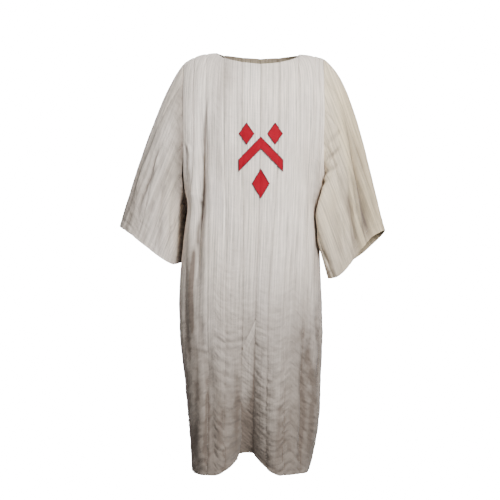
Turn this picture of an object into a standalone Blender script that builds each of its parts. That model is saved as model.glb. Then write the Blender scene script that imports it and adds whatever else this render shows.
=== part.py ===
"""A medieval surcoat: a quilted linen tunic in the hollow shape that it has when worn.

The front faces -Y and the wearer's right is -X. The origin is between the two ends of the neckline, on the
shoulder line, where the wearer's shoulders hold the garment. Tables are in millimetres.
Every piece of cloth is a wall built on the same drape, with its neighbours 0.3 mm away at the seams.
"""

from collections import namedtuple

import bpy
import numpy as np

MM = 0.001
HALF_TURN = np.pi

# Driving dimensions of the garment, in millimetres
LENGTH = 1238.0  # neckline's side end to hem
UNDERARM = 405.0  # neckline's side end to the foot of the armhole
GORE_TOP = 758.0  # neckline's side end to the tip of the centre gore
NECK_FRONT = 85.0  # how far the neckline stands in front of the shoulder line
NECK_BACK = 58.0
NECK_DIP_FRONT = 25.0  # how far the neckline drops at its middle
NECK_DIP_BACK = 6.0
ARMHOLE_FRONT = 82.0  # half widths of the armhole, in front of and behind the shoulder line
ARMHOLE_BACK = 80.0

# The cloth: two layers of linen quilted in upright channels
STITCHED = 1.8  # thickness along a line of stitching
QUILTED = 3.0  # thickness between the lines
CHANNEL = 54.0  # from one line of stitching to the next
SEAM = 0.3  # gap between two pieces where they are sewn together

# How finely the walls are cut
COLUMNS_IN_CHANNEL = 4
PLAIN_CHANNELS = 3  # channels of even width from the centre line out to the end of the neckline
SIDE_COLUMNS = 8  # columns from there to the armhole or the side seam
ARMHOLE_ROWS = 12
SKIRT_ROWS = 14
GORE_ROW = 6  # the row of the skirt where the gore begins
SLEEVE_ROWS = 12
SLEEVE_COLUMNS_IN_CHANNEL = 3
GORE_COLUMNS = 8
FINE = 240  # points along a row when it is measured
SEARCH_STEPS = 30  # for the place of a point of the chest, from its x and drop
SEARCH_C = 260.0  # about how far x moves for a whole step of c
SEARCH_R = 600.0  # about how far the drop moves for a whole step of r

# Shape of the body's rings
SQUARE_X = 0.80  # under 1 gives a ring fuller than an ellipse
SQUARE_Y = 0.68
ARMHOLE_BLEND = 90.0  # height above the underarm over which the ring opens into the armhole
ARMHOLE_TURN = np.radians(62)  # how far a panel has turned sideways where the armhole cuts it
SHOULDER_ROLL = 118.0  # height over which the cloth rolls from the shoulder line down to the chest
NECK_PLACE = 0.52  # where the neckline ends, as a share of the way across half a panel

Side = namedtuple("Side", "name sign neck neck_rise tip tip_drop tip_curve")
RIGHT = Side(name="right", sign=-1, neck=118, neck_rise=7, tip=218, tip_drop=24, tip_curve=2.4)
LEFT = Side(name="left", sign=1, neck=122, neck_rise=3, tip=194, tip_drop=9, tip_curve=1.8)

# Rings of the body: the drop below the neckline's ends, then how far the cloth reaches each way
Ring = namedtuple("Ring", "drop right left front back")
RINGS = [
    Ring(drop=0, right=218, left=194, front=104, back=84),
    Ring(drop=60, right=219, left=195, front=114, back=98),
    Ring(drop=150, right=219, left=195, front=124, back=112),
    Ring(drop=260, right=218, left=194, front=128, back=118),
    Ring(drop=385, right=216, left=194, front=127, back=113),
    Ring(drop=440, right=202, left=182, front=128, back=112),
    Ring(drop=520, right=213, left=184, front=130, back=113),
    Ring(drop=620, right=226, left=187, front=132, back=116),
    Ring(drop=720, right=233, left=192, front=135, back=121),
    Ring(drop=840, right=231, left=195, front=138, back=128),
    Ring(drop=960, right=220, left=190, front=141, back=135),
    Ring(drop=1080, right=209, left=187, front=144, back=142),
    Ring(drop=1160, right=203, left=177, front=145, back=146),
    Ring(drop=1250, right=199, left=159, front=146, back=148),
]

# The centre front line leans a little towards the wearer's right
CentreLine = namedtuple("CentreLine", "drop x")
CENTRE_LINE = [
    CentreLine(drop=0, x=9),
    CentreLine(drop=500, x=3),
    CentreLine(drop=700, x=-5),
    CentreLine(drop=900, x=-9),
    CentreLine(drop=1240, x=-11),
]

# The hollow down the centre front, where both fronts roll in to the gore
HOLLOW_TOP = 758.0
HOLLOW_DEPTH = 96.0  # at the hem
HOLLOW_REACH = 80.0  # how far it spreads over each front
GORE_GAP = 38.0  # space between the two fronts once the gore has opened
GORE_OPENS = 110.0  # height over which it opens
GORE_FOLD = 16.0  # how far the gore folds in behind the fronts at the hem
GORE_FOLD_TOP = 0.12  # share of that at the gore's tip
GORE_START = 0.3  # the gore's tip, as a share of its first row
HEM_LIFT = 46.0  # how far the hem rises to the gore
HEM_SAG = 12.0  # how far it sags at the sides

# Upright folds of the body: x and drop of each end, half width and depth. A negative depth is a ridge
Fold = namedtuple("Fold", "x0 drop0 x1 drop1 width depth")
FRONT_FOLDS = [
    Fold(x0=-146, drop0=120, x1=-196, drop1=760, width=15, depth=24),
    Fold(x0=-170, drop0=200, x1=-214, drop1=800, width=13, depth=-8),
    Fold(x0=-118, drop0=120, x1=-128, drop1=560, width=26, depth=4),
    Fold(x0=158, drop0=140, x1=160, drop1=640, width=20, depth=5),
    Fold(x0=-152, drop0=760, x1=-126, drop1=1300, width=19, depth=10),
    Fold(x0=-96, drop0=840, x1=-92, drop1=1180, width=20, depth=5),
    Fold(x0=100, drop0=860, x1=92, drop1=1300, width=22, depth=5),
    Fold(x0=146, drop0=780, x1=128, drop1=1300, width=20, depth=9),
]
BACK_FOLDS = [
    Fold(x0=-150, drop0=190, x1=-168, drop1=760, width=22, depth=12),
    Fold(x0=148, drop0=180, x1=160, drop1=780, width=22, depth=12),
    Fold(x0=-84, drop0=360, x1=-104, drop1=1300, width=26, depth=13),
    Fold(x0=-30, drop0=620, x1=-34, drop1=1300, width=24, depth=-9),
    Fold(x0=18, drop0=520, x1=26, drop1=1300, width=26, depth=14),
    Fold(x0=92, drop0=440, x1=104, drop1=1300, width=24, depth=11),
    Fold(x0=-142, drop0=860, x1=-138, drop1=1300, width=18, depth=8),
]

# Sleeves: the two ends of the cuff as seen from the front, and how it stands from the side
Sleeve = namedtuple("Sleeve", "side outer_x outer_drop inner_x inner_drop depth forward tilt start foot")
SLEEVES = [
    Sleeve(RIGHT, 411, 505, 241, 622, depth=62, forward=12, tilt=7, start=(0.36, 0.42), foot=-0.10),
    Sleeve(LEFT, 380, 518, 214, 658, depth=62, forward=30, tilt=27, start=(0.51, 0.30), foot=-0.16),
]
ARM_LEAN = 0.30  # sideways share of the sleeve's direction at the cuff
FACE_WAY = 0.62  # sideways and downward share at its front and back
SLEEVE_SWELL = 0.16  # how far the sleeve's front and back leave the seam outwards
UNDERARM_STEP = 7.0  # the sleeve stands this far outside the body's wall at the foot of the armhole
UNDERARM_FROM = 0.55  # share of the way down the armhole where that step begins

# Folds of the sleeves, by the angle round the cuff: 0 is the outer edge, 90 the front, 180 the inner edge
SleeveFold = namedtuple("SleeveFold", "angle0 way0 angle1 way1 width depth")
SLEEVE_FOLDS = {
    "right": [
        SleeveFold(angle0=112, way0=0.05, angle1=96, way1=1.2, width=17, depth=9),
        SleeveFold(angle0=58, way0=0.25, angle1=60, way1=1.2, width=15, depth=7),
        SleeveFold(angle0=146, way0=0.30, angle1=140, way1=1.2, width=14, depth=9),
        SleeveFold(angle0=236, way0=0.10, angle1=250, way1=1.2, width=18, depth=12),
        SleeveFold(angle0=292, way0=0.20, angle1=300, way1=1.2, width=16, depth=9),
    ],
    "left": [
        SleeveFold(angle0=44, way0=0.15, angle1=62, way1=1.1, width=15, depth=24),
        SleeveFold(angle0=84, way0=0.30, angle1=98, way1=1.2, width=13, depth=10),
        SleeveFold(angle0=168, way0=0.35, angle1=142, way1=0.95, width=12, depth=9),
        SleeveFold(angle0=240, way0=0.10, angle1=254, way1=1.2, width=18, depth=12),
        SleeveFold(angle0=300, way0=0.20, angle1=296, way1=1.2, width=16, depth=10),
    ],
}

# The red device on the chest: a chevron between three lozenges
DEVICE_X = 9.0
DEVICE_DROP = 193.0  # its top
DEVICE_GAP = 0.5  # clearance over the quilting
FELT = 1.2  # thickness of the applied cloth
Lozenge = namedtuple("Lozenge", "name x drop width height")
LOZENGES = [
    Lozenge(name="lozenge_right", x=-41, drop=31, width=44, height=62),
    Lozenge(name="lozenge_left", x=41, drop=31, width=44, height=62),
    Lozenge(name="lozenge_foot", x=0, drop=175, width=50, height=86),
]
LOZENGE_CELLS = 5
CHEVRON_HALF_WIDTH = 64.0
CHEVRON_PEAK = 40.0  # its point, below the device's top
CHEVRON_FALL = 66.0
CHEVRON_THICK = 34.0
CHEVRON_CELLS = 6

LINEN = (0.70, 0.655, 0.585)
SCARLET = (0.50, 0.022, 0.030)


def table(rows, column, drop):
    """A smooth curve through one column of a table, read at the given drops."""
    at = np.array([row.drop for row in rows], float)
    values = np.array([getattr(row, column) for row in rows], float)
    slopes = np.gradient(values, at)
    drop = np.clip(drop, at[0], at[-1])
    i = np.clip(np.searchsorted(at, drop) - 1, 0, len(at) - 2)
    span = at[i + 1] - at[i]
    t = (drop - at[i]) / span
    rise = values[i] * (1 + 2 * t) * (1 - t) ** 2 + values[i + 1] * t**2 * (3 - 2 * t)
    return rise + span * (slopes[i] * t * (1 - t) ** 2 - slopes[i + 1] * t**2 * (1 - t))


def ease(t):
    """0 up to t = 0, 1 from t = 1, and smooth between."""
    t = np.clip(t, 0, 1)
    return t * t * (3 - 2 * t)


def unit(v):
    return v / np.maximum(np.linalg.norm(v, axis=-1, keepdims=True), 1e-12)


def stack(x, y, z):
    return np.stack(np.broadcast_arrays(x, y, z), axis=-1).astype(float)


def armhole_share(row):
    """How far down the armhole a row lies, so that the rows are even along its edge."""
    turn = np.linspace(0, HALF_TURN, FINE)
    half_height = (UNDERARM - RIGHT.tip_drop) / 2
    steps = np.hypot(np.diff(ARMHOLE_FRONT * np.sin(turn)), np.diff(half_height * np.cos(turn)))
    along = np.concatenate([[0], np.cumsum(steps)]) / steps.sum()
    return (1 - np.cos(np.interp(row, along, turn))) / 2


def top_edge(side, face, c):
    """The neckline and then the shoulder line, for c from the centre (0) to the shoulder's tip (1)."""
    centre = CENTRE_LINE[0].x * side.sign
    turn = np.clip(c / NECK_PLACE, 0, 1) * HALF_TURN / 2
    out = np.clip((c - NECK_PLACE) / (1 - NECK_PLACE), 0, 1)
    x = centre + (side.neck - centre) * np.sin(turn) + (side.tip - side.neck) * out
    stand = -NECK_FRONT if face == "front" else NECK_BACK
    dip = NECK_DIP_FRONT if face == "front" else NECK_DIP_BACK
    lift = side.neck_rise * np.sin(turn)
    drop = dip * np.cos(turn) - lift + (side.tip_drop + side.neck_rise) * out**side.tip_curve
    return side.sign * x, stand * np.cos(turn), drop


def hem_drop(side, face, x):
    """The hem hangs level, and rises to the gore at the centre front."""
    level = LENGTH + HEM_SAG * (x / table(RINGS, side.name, LENGTH)) ** 4
    if face == "back":
        return level
    near = np.clip(1 - np.abs(x - flap_edge(side, LENGTH)) / HOLLOW_REACH, 0, 1)
    return level - HEM_LIFT * near**1.5


def flap_edge(side, drop):
    """x of a front's centre edge: the centre seam, and below it the edge that is sewn to the gore."""
    gap = GORE_GAP * ease((drop - GORE_TOP) / GORE_OPENS) if side is RIGHT else 0
    return table(CENTRE_LINE, "x", drop) - gap


def ring_point(side, face, c, drop, into_armhole):
    """A point of the body's ring at that drop. into_armhole is 0 from the underarm down, 1 well above it."""
    reach = table(RINGS, side.name, drop)
    centre = (flap_edge(side, drop) if face == "front" else table(CENTRE_LINE, "x", drop)) * side.sign
    turn = HALF_TURN / 2 + (ARMHOLE_TURN - HALF_TURN / 2) * into_armhole
    square_x = SQUARE_X + (1 - SQUARE_X) * into_armhole
    across = (np.sin(c * turn) / np.sin(turn)) ** square_x
    end = np.clip(np.cos(turn), 0, 1) ** SQUARE_Y
    round_off = (np.clip(np.cos(c * turn), 0, 1) ** SQUARE_Y - end) / (1 - end)
    half = (UNDERARM - side.tip_drop) / 2
    below = np.clip((drop - side.tip_drop - half) / half, 0, 1)
    edge = (ARMHOLE_FRONT if face == "front" else ARMHOLE_BACK) * np.sqrt(1 - below**2)
    depth = edge + (table(RINGS, face, drop) - edge) * round_off
    x = side.sign * (centre + (reach - centre) * across)
    return x, depth


def smooth_body(side, face, c, r):
    """The body's drape without its folds. r is 0 at the top edge, 1 at the underarm and 2 at the hem."""
    top_x, top_y, top_drop = top_edge(side, face, c)
    upper = top_drop + (UNDERARM - top_drop) * armhole_share(np.clip(r, 0, 1))
    hem_x, _ = ring_point(side, face, c, np.full_like(c, LENGTH), 0)
    lower = UNDERARM + (hem_drop(side, face, hem_x) - UNDERARM) * np.clip(r - 1, 0, 1)
    drop = np.where(r <= 1, upper, lower)
    into_armhole = ease((UNDERARM - drop) / ARMHOLE_BLEND)
    x, depth = ring_point(side, face, c, drop, into_armhole)
    roll = SHOULDER_ROLL + (UNDERARM - side.tip_drop) / 2 * c**6 - SHOULDER_ROLL * c**6
    t = np.clip((drop - top_drop) / roll, 0, 1)
    neck = np.cos(np.clip(c / NECK_PLACE, 0, 1) * HALF_TURN / 2)
    rolled = np.sqrt(np.clip(1 - (1 - t) ** 2, 0, 1)) * (1 - neck) + np.sin(t * HALF_TURN / 2) * neck
    outward = -1 if face == "front" else 1
    y = top_y + (outward * depth - top_y) * rolled
    x = top_x + (x - top_x) * ease(t)
    if face == "front":
        deep = HOLLOW_DEPTH * np.clip((drop - HOLLOW_TOP) / (LENGTH - HOLLOW_TOP), 0, 1) ** 1.15
        near = np.clip(1 - np.abs(x - flap_edge(side, drop)) / HOLLOW_REACH, 0, 1)
        y = y + deep * near**2
    return stack(x, y, -drop)


def fold_depth(folds, points):
    """How far the folds press each point inwards."""
    total = np.zeros(points.shape[:-1])
    for fold in folds:
        start = np.array([fold.x0, -fold.drop0])
        run = np.array([fold.x1, -fold.drop1]) - start
        share = ((points[..., [0, 2]] - start) @ run) / (run @ run)
        off = points[..., 0] - (fold.x0 + run[0] * share)
        ends = ease(share / 0.3) * ease((1 - share) / 0.3)
        total += fold.depth * ends * np.exp(-((off / fold.width) ** 2))
    return total


def normals_of(surface, u, v, outward):
    """Unit normals of surface(u, v) by small steps, turned to the side that outward gives."""
    step = 1e-4
    along_u = surface(u + step, v) - surface(u - step, v)
    along_v = surface(u, v + step) - surface(u, v - step)
    normal = unit(np.cross(along_u, along_v))
    return normal * np.sign((normal * outward).sum(-1, keepdims=True) + 1e-9)


def outward_of(points):
    """Roughly outwards from the middle of the body."""
    return points * np.array([1.0, 1.4, 0.0]) + np.array([0.0, 0.0, 60.0]) * (points[..., 2:] > -120)


def body_surface(side, face):
    """The body's drape with its folds, as a function of c and r."""
    folds = FRONT_FOLDS if face == "front" else BACK_FOLDS

    def smooth(c, r):
        return smooth_body(side, face, np.clip(c, 0, 1), np.clip(r, 0, 2))

    def surface(c, r):
        points = smooth(c, r)
        inside_c = np.clip(c, 1e-3, 1 - 1e-3)
        normal = normals_of(smooth, inside_c, np.clip(r, 1e-3, 2 - 1e-3), outward_of(points))
        keep = 1 - np.clip(c, 0, 1) ** 12
        return points - normal * (fold_depth(folds, points) * keep)[..., None]

    return surface


def even_columns(surface, rows):
    """c for each column of each row: channels of even width, then even steps to the panel's edge."""
    inner = PLAIN_CHANNELS * COLUMNS_IN_CHANNEL
    fine = np.linspace(0, 1, FINE)
    out = []
    for r in rows:
        line = surface(fine, np.full(FINE, r))
        along = np.concatenate([[0], np.cumsum(np.linalg.norm(np.diff(line, axis=0), axis=1))])
        neck_end = np.interp(NECK_PLACE, fine, along)
        plain = CHANNEL * PLAIN_CHANNELS
        corner = neck_end + (plain - neck_end) * ease(r / 0.5)
        places = np.concatenate([
            np.linspace(0, corner, inner + 1),
            np.linspace(corner, along[-1], SIDE_COLUMNS + 1)[1:],
        ])
        out.append(np.interp(places, along, fine))
    return np.array(out)


def quilting(columns, per_channel):
    """Wall thickness by column: thin along each line of stitching and full between the lines."""
    place = np.arange(columns) % per_channel
    return np.where(place == 0, STITCHED, QUILTED)


def body_grid(side, face):
    """Points and normals of half a front or half a back, row by row from the shoulder to the hem."""
    rows = np.concatenate([
        np.linspace(0, 1, ARMHOLE_ROWS + 1),
        1 + np.linspace(0, 1, SKIRT_ROWS + 1)[1:],
    ])
    surface = body_surface(side, face)
    c = even_columns(surface, rows)
    r = np.repeat(rows[:, None], c.shape[1], axis=1)
    points = surface(c, r)
    inside_c, inside_r = np.clip(c, 2e-3, 1 - 2e-3), np.clip(r, 2e-3, 2 - 2e-3)
    return points, normals_of(surface, inside_c, inside_r, outward_of(points))


def pull_in(points, edge, by):
    """Draws one edge of a grid back along the cloth by that many millimetres."""
    ends = {"top": (0, 1), "foot": (-1, -2)}
    sides = {"first": (0, 1), "last": (-1, -2)}
    moved = points.copy()
    if edge in ends:
        a, b = ends[edge]
        moved[a] += by * unit(points[b] - points[a])
    else:
        a, b = sides[edge]
        moved[:, a] += by * unit(points[:, b] - points[:, a])
    return moved


def wall(name, points, normals, inner, outer, material, collection, tube=False):
    """A closed wall of cloth: two skins over a grid of points, from inner to outer along the normals."""
    rows, columns = points.shape[:2]
    skins = np.concatenate([
        (points + normals * np.broadcast_to(outer, (rows, columns))[..., None]).reshape(-1, 3),
        (points + normals * np.broadcast_to(inner, (rows, columns))[..., None]).reshape(-1, 3),
    ])
    number = np.arange(rows * columns).reshape(rows, columns)
    around = np.concatenate([number, number[:, :1]], axis=1) if tube else number
    back = rows * columns
    faces = []
    for j in range(rows - 1):
        for i in range(around.shape[1] - 1):
            quad = [around[j, i], around[j + 1, i], around[j + 1, i + 1], around[j, i + 1]]
            faces += [quad, [q + back for q in reversed(quad)]]
    rims = [around[0], around[-1, ::-1]]
    if not tube:
        rims += [number[::-1, 0], number[:, -1]]
    for rim in rims:
        faces += [[a, b, b + back, a + back] for a, b in zip(rim[:-1], rim[1:])]
    mesh = bpy.data.meshes.new(name)
    mesh.from_pydata((skins * MM).tolist(), [], [[int(k) for k in face] for face in faces])
    mesh.validate()
    return finish(name, mesh, material, collection)


def finish(name, mesh, material, collection):
    """Turns the faces outwards, smooths the shading and puts the object in its collection."""
    mesh.update()
    piece = bpy.data.objects.new(name, mesh)
    piece.data.materials.append(material)
    collection.objects.link(piece)
    bpy.context.view_layer.objects.active = piece
    piece.select_set(True)
    bpy.ops.object.mode_set(mode="EDIT")
    bpy.ops.mesh.select_all(action="SELECT")
    bpy.ops.mesh.normals_make_consistent(inside=False)
    bpy.ops.object.mode_set(mode="OBJECT")
    piece.select_set(False)
    mesh.shade_smooth()
    mesh.set_sharp_from_angle(angle=np.radians(40))
    return piece


def make_front(side, material, collection):
    points, normals = body_grid(side, "front")
    for edge in ("top", "first", "last"):
        points = pull_in(points, edge, SEAM / 2)
    thickness = quilting(points.shape[1], COLUMNS_IN_CHANNEL)
    wall(f"front_{side.name}", points, normals, 0, thickness, material, collection)


def make_back(material, collection):
    """Both halves of the back share their centre column."""
    right, right_normals = body_grid(RIGHT, "back")
    left, left_normals = body_grid(LEFT, "back")
    points = np.concatenate([right[:, :0:-1], left], axis=1)
    normals = np.concatenate([right_normals[:, :0:-1], left_normals], axis=1)
    for edge in ("top", "first", "last"):
        points = pull_in(points, edge, SEAM / 2)
    half = quilting(left.shape[1], COLUMNS_IN_CHANNEL)
    thickness = np.concatenate([half[:0:-1], half])
    wall("back", points, normals, 0, thickness, material, collection)


def make_gore(material, collection):
    """The gore hangs between the centre edges of the two fronts and folds in behind them."""
    first = ARMHOLE_ROWS + GORE_ROW
    edges = []
    for side in (RIGHT, LEFT):
        points, _ = body_grid(side, "front")
        edge, beside = points[first:, 0], points[first:, 1]
        heading = unit((edge - beside) * np.array([1.0, 1.0, 0.0]))
        edge = edge.copy()
        edge[0] += (edge[1] - edge[0]) * GORE_START
        edges.append((edge, heading))
    (start, start_way), (end, end_way) = edges
    down = np.linspace(GORE_START / SKIRT_ROWS, 1, len(start))[:, None, None]
    handle = GORE_FOLD * (GORE_FOLD_TOP + (1 - GORE_FOLD_TOP) * down)
    t = np.linspace(0, 1, GORE_COLUMNS + 1)[None, :, None]
    a, b = start[:, None], end[:, None]
    turn_a, turn_b = a + start_way[:, None] * handle, b + end_way[:, None] * handle

    def curve(t):
        return a * (1 - t) ** 3 + turn_a * 3 * t * (1 - t) ** 2 + turn_b * 3 * t**2 * (1 - t) + b * t**3

    points = curve(t)
    step = 1e-3
    across = curve(np.minimum(t + step, 1)) - curve(np.maximum(t - step, 0))
    downward = np.gradient(points, axis=0)
    normals = unit(np.cross(downward, across))
    normals *= np.sign(-normals[:, GORE_COLUMNS // 2, 1])[:, None, None]
    for edge in ("first", "last"):
        points = pull_in(points, edge, SEAM)
    wall("front_gore", points, normals, 0, STITCHED, material, collection)


def armhole(side):
    """The armhole's edge as the body leaves it, from the shoulder down the front and up the back."""
    front, front_normals = body_grid(side, "front")
    back, back_normals = body_grid(side, "back")
    rows = slice(0, ARMHOLE_ROWS + 1)
    up = slice(ARMHOLE_ROWS - 1, 0, -1)
    points = np.concatenate([front[rows, -1], back[up, -1]])
    normals = np.concatenate([front_normals[rows, -1], back_normals[up, -1]])
    between = (points + np.roll(points, -1, axis=0)) / 2
    normals_between = unit(normals + np.roll(normals, -1, axis=0))
    both = np.stack([points, between], axis=1).reshape(-1, 3)
    return both, np.stack([normals, normals_between], axis=1).reshape(-1, 3)


def sleeve_surface(sleeve, loop):
    """The sleeve from the armhole to the cuff. turn runs round it and way along it."""
    sign = sleeve.side.sign
    count = len(loop)
    outer = np.array([sign * sleeve.outer_x, -sleeve.forward, -sleeve.outer_drop])
    inner = np.array([sign * sleeve.inner_x, -sleeve.forward, -sleeve.inner_drop])
    folds = SLEEVE_FOLDS[sleeve.side.name]
    closed = np.concatenate([loop, loop[:1]])

    def smooth(turn, way):
        place = (turn / (2 * HALF_TURN)) % 1 * count
        start = np.stack([np.interp(place, np.arange(count + 1), closed[:, k]) for k in range(3)], axis=-1)
        cos, sin = np.cos(turn)[..., None], np.sin(turn)[..., None]
        side_way = np.array([0.0, -sleeve.depth, sleeve.tilt])
        end = (outer + inner) / 2 + (outer - inner) / 2 * cos + side_way * sin
        chord = np.linalg.norm(end - start, axis=-1, keepdims=True)
        top_way = np.array([sign * sleeve.start[0], 0, -sleeve.start[1]])
        foot_way = np.array([sign * sleeve.foot, 0, -1.0])
        face_way = stack(sign * FACE_WAY, -SLEEVE_SWELL * np.sign(sin[..., 0]), -FACE_WAY)
        leave = top_way * np.clip(cos, 0, 1) ** 2 + foot_way * np.clip(-cos, 0, 1) ** 2 + face_way * sin**2
        arrive = unit(np.array([sign * ARM_LEAN, 0, -1.0]))
        w = way[..., None]
        return (
            start * (1 + 2 * w) * (1 - w) ** 2
            + leave * chord * w * (1 - w) ** 2
            + end * w**2 * (3 - 2 * w)
            - arrive * chord * w**2 * (1 - w)
        )

    def middle(way):
        turns = np.linspace(0, 2 * HALF_TURN, 24, endpoint=False)
        ring = smooth(np.broadcast_to(turns, way.shape + turns.shape), way[..., None] + 0 * turns)
        return ring.mean(axis=-2)

    def surface(turn, way):
        points = smooth(turn, way)
        step = 1e-3
        inside = np.clip(way, step, 1 - step)
        normal = normals_of(smooth, turn, inside, points - middle(way))
        degrees = np.degrees(turn) % 360
        press = np.zeros(points.shape[:-1])
        for fold in folds:
            share = (way - fold.way0) / (fold.way1 - fold.way0)
            off = degrees - (fold.angle0 + (fold.angle1 - fold.angle0) * share)
            ends = ease(share / 0.45) * ease((1 - share) / 0.3)
            press += fold.depth * ends * np.exp(-((off / fold.width) ** 2))
        return points - normal * (press * ease(way / 0.15))[..., None]

    return surface, middle


def make_sleeve(sleeve, material, collection):
    """One tube of cloth. Its first ring follows the armhole, and stands outside the body at the underarm."""
    side = sleeve.side
    loop, body_normals = armhole(side)
    depth = (-loop[:, 2] - side.tip_drop) / (UNDERARM - side.tip_drop)
    low = ease((depth - UNDERARM_FROM) / (1 - UNDERARM_FROM))[:, None]
    out = np.array([side.sign, 0.0, 0.0])
    loop = loop + out * UNDERARM_STEP * low + unit(np.array([side.sign, 0, -0.4])) * SEAM * (1 - low)
    surface, middle = sleeve_surface(sleeve, loop)
    turns = np.linspace(0, 2 * HALF_TURN, len(loop), endpoint=False)
    ways = np.linspace(0, 1, SLEEVE_ROWS + 1)
    turn, way = np.meshgrid(turns, ways)
    points = surface(turn, way)
    normals = normals_of(surface, turn, np.clip(way, 2e-3, 1 - 2e-3), points - middle(way))
    normals[0] = unit(body_normals * (1 - low) + normals[0] * low)
    thickness = quilting(len(loop), SLEEVE_COLUMNS_IN_CHANNEL)
    wall(f"sleeve_{side.name}", points, normals, 0, thickness, material, collection, tube=True)


def chest_points(x, drop):
    """Points and normals of the fronts under the device, from x and drop."""
    side_of = {}
    for side in (RIGHT, LEFT):
        surface = body_surface(side, "front")

        def on_front(x, drop, side=side, surface=surface):
            c = np.full(x.shape, 0.3)
            r = np.full(x.shape, 0.6)
            for _ in range(SEARCH_STEPS):
                here = surface(c, r)
                c = np.clip(c + (x - here[..., 0]) * side.sign / SEARCH_C, 0, 1)
                r = np.clip(r + (drop + here[..., 2]) / SEARCH_R, 0, 2)
            points = surface(c, r)
            normals = normals_of(surface, np.clip(c, 2e-3, 1), r, outward_of(points))
            return points, normals

        side_of[side.name] = on_front(x, drop)
    left = (x > table(CENTRE_LINE, "x", drop))[..., None]
    points = np.where(left, side_of["left"][0], side_of["right"][0])
    normals = np.where(left, side_of["left"][1], side_of["right"][1])
    return points, normals


def applied(name, x, drop, material, collection):
    """A piece of red cloth that lies on the quilting."""
    points, normals = chest_points(x + DEVICE_X, drop + DEVICE_DROP)
    lower = QUILTED + DEVICE_GAP
    wall(name, points, normals, lower, lower + FELT, material, collection)


def make_device(material, collection):
    for lozenge in LOZENGES:
        s, t = np.meshgrid(np.linspace(-1, 1, LOZENGE_CELLS), np.linspace(-1, 1, LOZENGE_CELLS))
        x = lozenge.x + (s - t) * lozenge.width / 4
        drop = lozenge.drop + (s + t) * lozenge.height / 4
        applied(lozenge.name, x, drop, material, collection)
    s, t = np.meshgrid(np.linspace(-1, 1, 2 * CHEVRON_CELLS + 1), np.linspace(0, 1, 3))
    x = s * CHEVRON_HALF_WIDTH
    drop = CHEVRON_PEAK + np.abs(s) * CHEVRON_FALL + t * CHEVRON_THICK
    applied("chevron", x, drop, material, collection)


def make_material(name, colour, roughness):
    material = bpy.data.materials.new(name)
    material.use_nodes = True
    shader = material.node_tree.nodes["Principled BSDF"]
    shader.inputs["Base Color"].default_value = (*colour, 1.0)
    shader.inputs["Roughness"].default_value = roughness
    shader.inputs["Metallic"].default_value = 0.0
    return material


def main():
    for thing in list(bpy.data.objects):
        bpy.data.objects.remove(thing)
    collection = bpy.data.collections.new("surcoat")
    bpy.context.scene.collection.children.link(collection)
    linen = make_material("linen", LINEN, 0.9)
    scarlet = make_material("scarlet", SCARLET, 0.85)
    for side in (RIGHT, LEFT):
        make_front(side, linen, collection)
    make_back(linen, collection)
    make_gore(linen, collection)
    for sleeve in SLEEVES:
        make_sleeve(sleeve, linen, collection)
    make_device(scarlet, collection)


main()
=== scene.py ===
import math
import bpy
import numpy as np
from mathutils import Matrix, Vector
from mathutils.bvhtree import BVHTree


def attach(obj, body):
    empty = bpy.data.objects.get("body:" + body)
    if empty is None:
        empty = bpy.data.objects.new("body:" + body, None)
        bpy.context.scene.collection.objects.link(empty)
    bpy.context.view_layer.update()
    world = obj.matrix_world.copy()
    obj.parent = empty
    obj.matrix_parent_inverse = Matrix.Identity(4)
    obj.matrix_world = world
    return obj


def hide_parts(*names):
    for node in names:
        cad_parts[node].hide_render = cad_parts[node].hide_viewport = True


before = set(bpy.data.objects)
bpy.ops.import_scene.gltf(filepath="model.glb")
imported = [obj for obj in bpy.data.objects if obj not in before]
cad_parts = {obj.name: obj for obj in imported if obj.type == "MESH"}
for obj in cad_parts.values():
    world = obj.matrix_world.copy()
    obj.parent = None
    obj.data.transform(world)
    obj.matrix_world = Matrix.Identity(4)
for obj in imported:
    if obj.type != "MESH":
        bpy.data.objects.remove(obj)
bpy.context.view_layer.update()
print("frame loaded:", len(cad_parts), "pieces of cloth")

mm = 0.001


# Small helpers

def deselectAll():
    for thing in bpy.context.selected_objects:
        thing.select_set(False)


def makeActive(piece):
    deselectAll()
    piece.select_set(True)
    bpy.context.view_layer.objects.active = piece


def editAll(piece, action):
    # runs one edit-mode action on the whole piece
    makeActive(piece)
    bpy.ops.object.mode_set(mode="EDIT")
    bpy.ops.mesh.select_all(action="SELECT")
    action()
    bpy.ops.object.mode_set(mode="OBJECT")


def ease(t):
    t = np.clip(t, 0, 1)
    return t * t * (3 - 2 * t)


def comesIn(value, start, over):
    return ease((value - start) / over)


def goesOut(value, end, over):
    return ease((end - value) / over)


def bell(x):
    return np.exp(-(x**2))


def unit(v):
    return v / np.maximum(np.linalg.norm(v, axis=-1, keepdims=True), 1e-12)


def curveThrough(table, column, drop):
    # smooth curve through one column of a table
    at, values = np.array(table["drop"], float), np.array(table[column], float)
    slopes = np.gradient(values, at)
    drop = np.clip(drop, at[0], at[-1])
    i = np.clip(np.searchsorted(at, drop) - 1, 0, len(at) - 2)
    span = at[i + 1] - at[i]
    t = (drop - at[i]) / span
    rise = values[i] * (1 + 2 * t) * (1 - t) ** 2 + values[i + 1] * t**2 * (3 - 2 * t)
    return rise + span * (slopes[i] * t * (1 - t) ** 2 - slopes[i + 1] * t**2 * (1 - t))


def softNoise(u, v, seed):
    # smooth noise from -1 to 1, one bump to each unit of u and v
    lattice = np.random.RandomState(seed).rand(128, 128) * 2 - 1
    i, j = np.floor(u).astype(int), np.floor(v).astype(int)
    s, t = ease(u - i), ease(v - j)

    def at(a, b):
        return lattice[(j + b) % 128, (i + a) % 128]

    return (at(0, 0) * (1 - s) + at(1, 0) * s) * (1 - t) + (at(0, 1) * (1 - s) + at(1, 1) * s) * t


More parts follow.
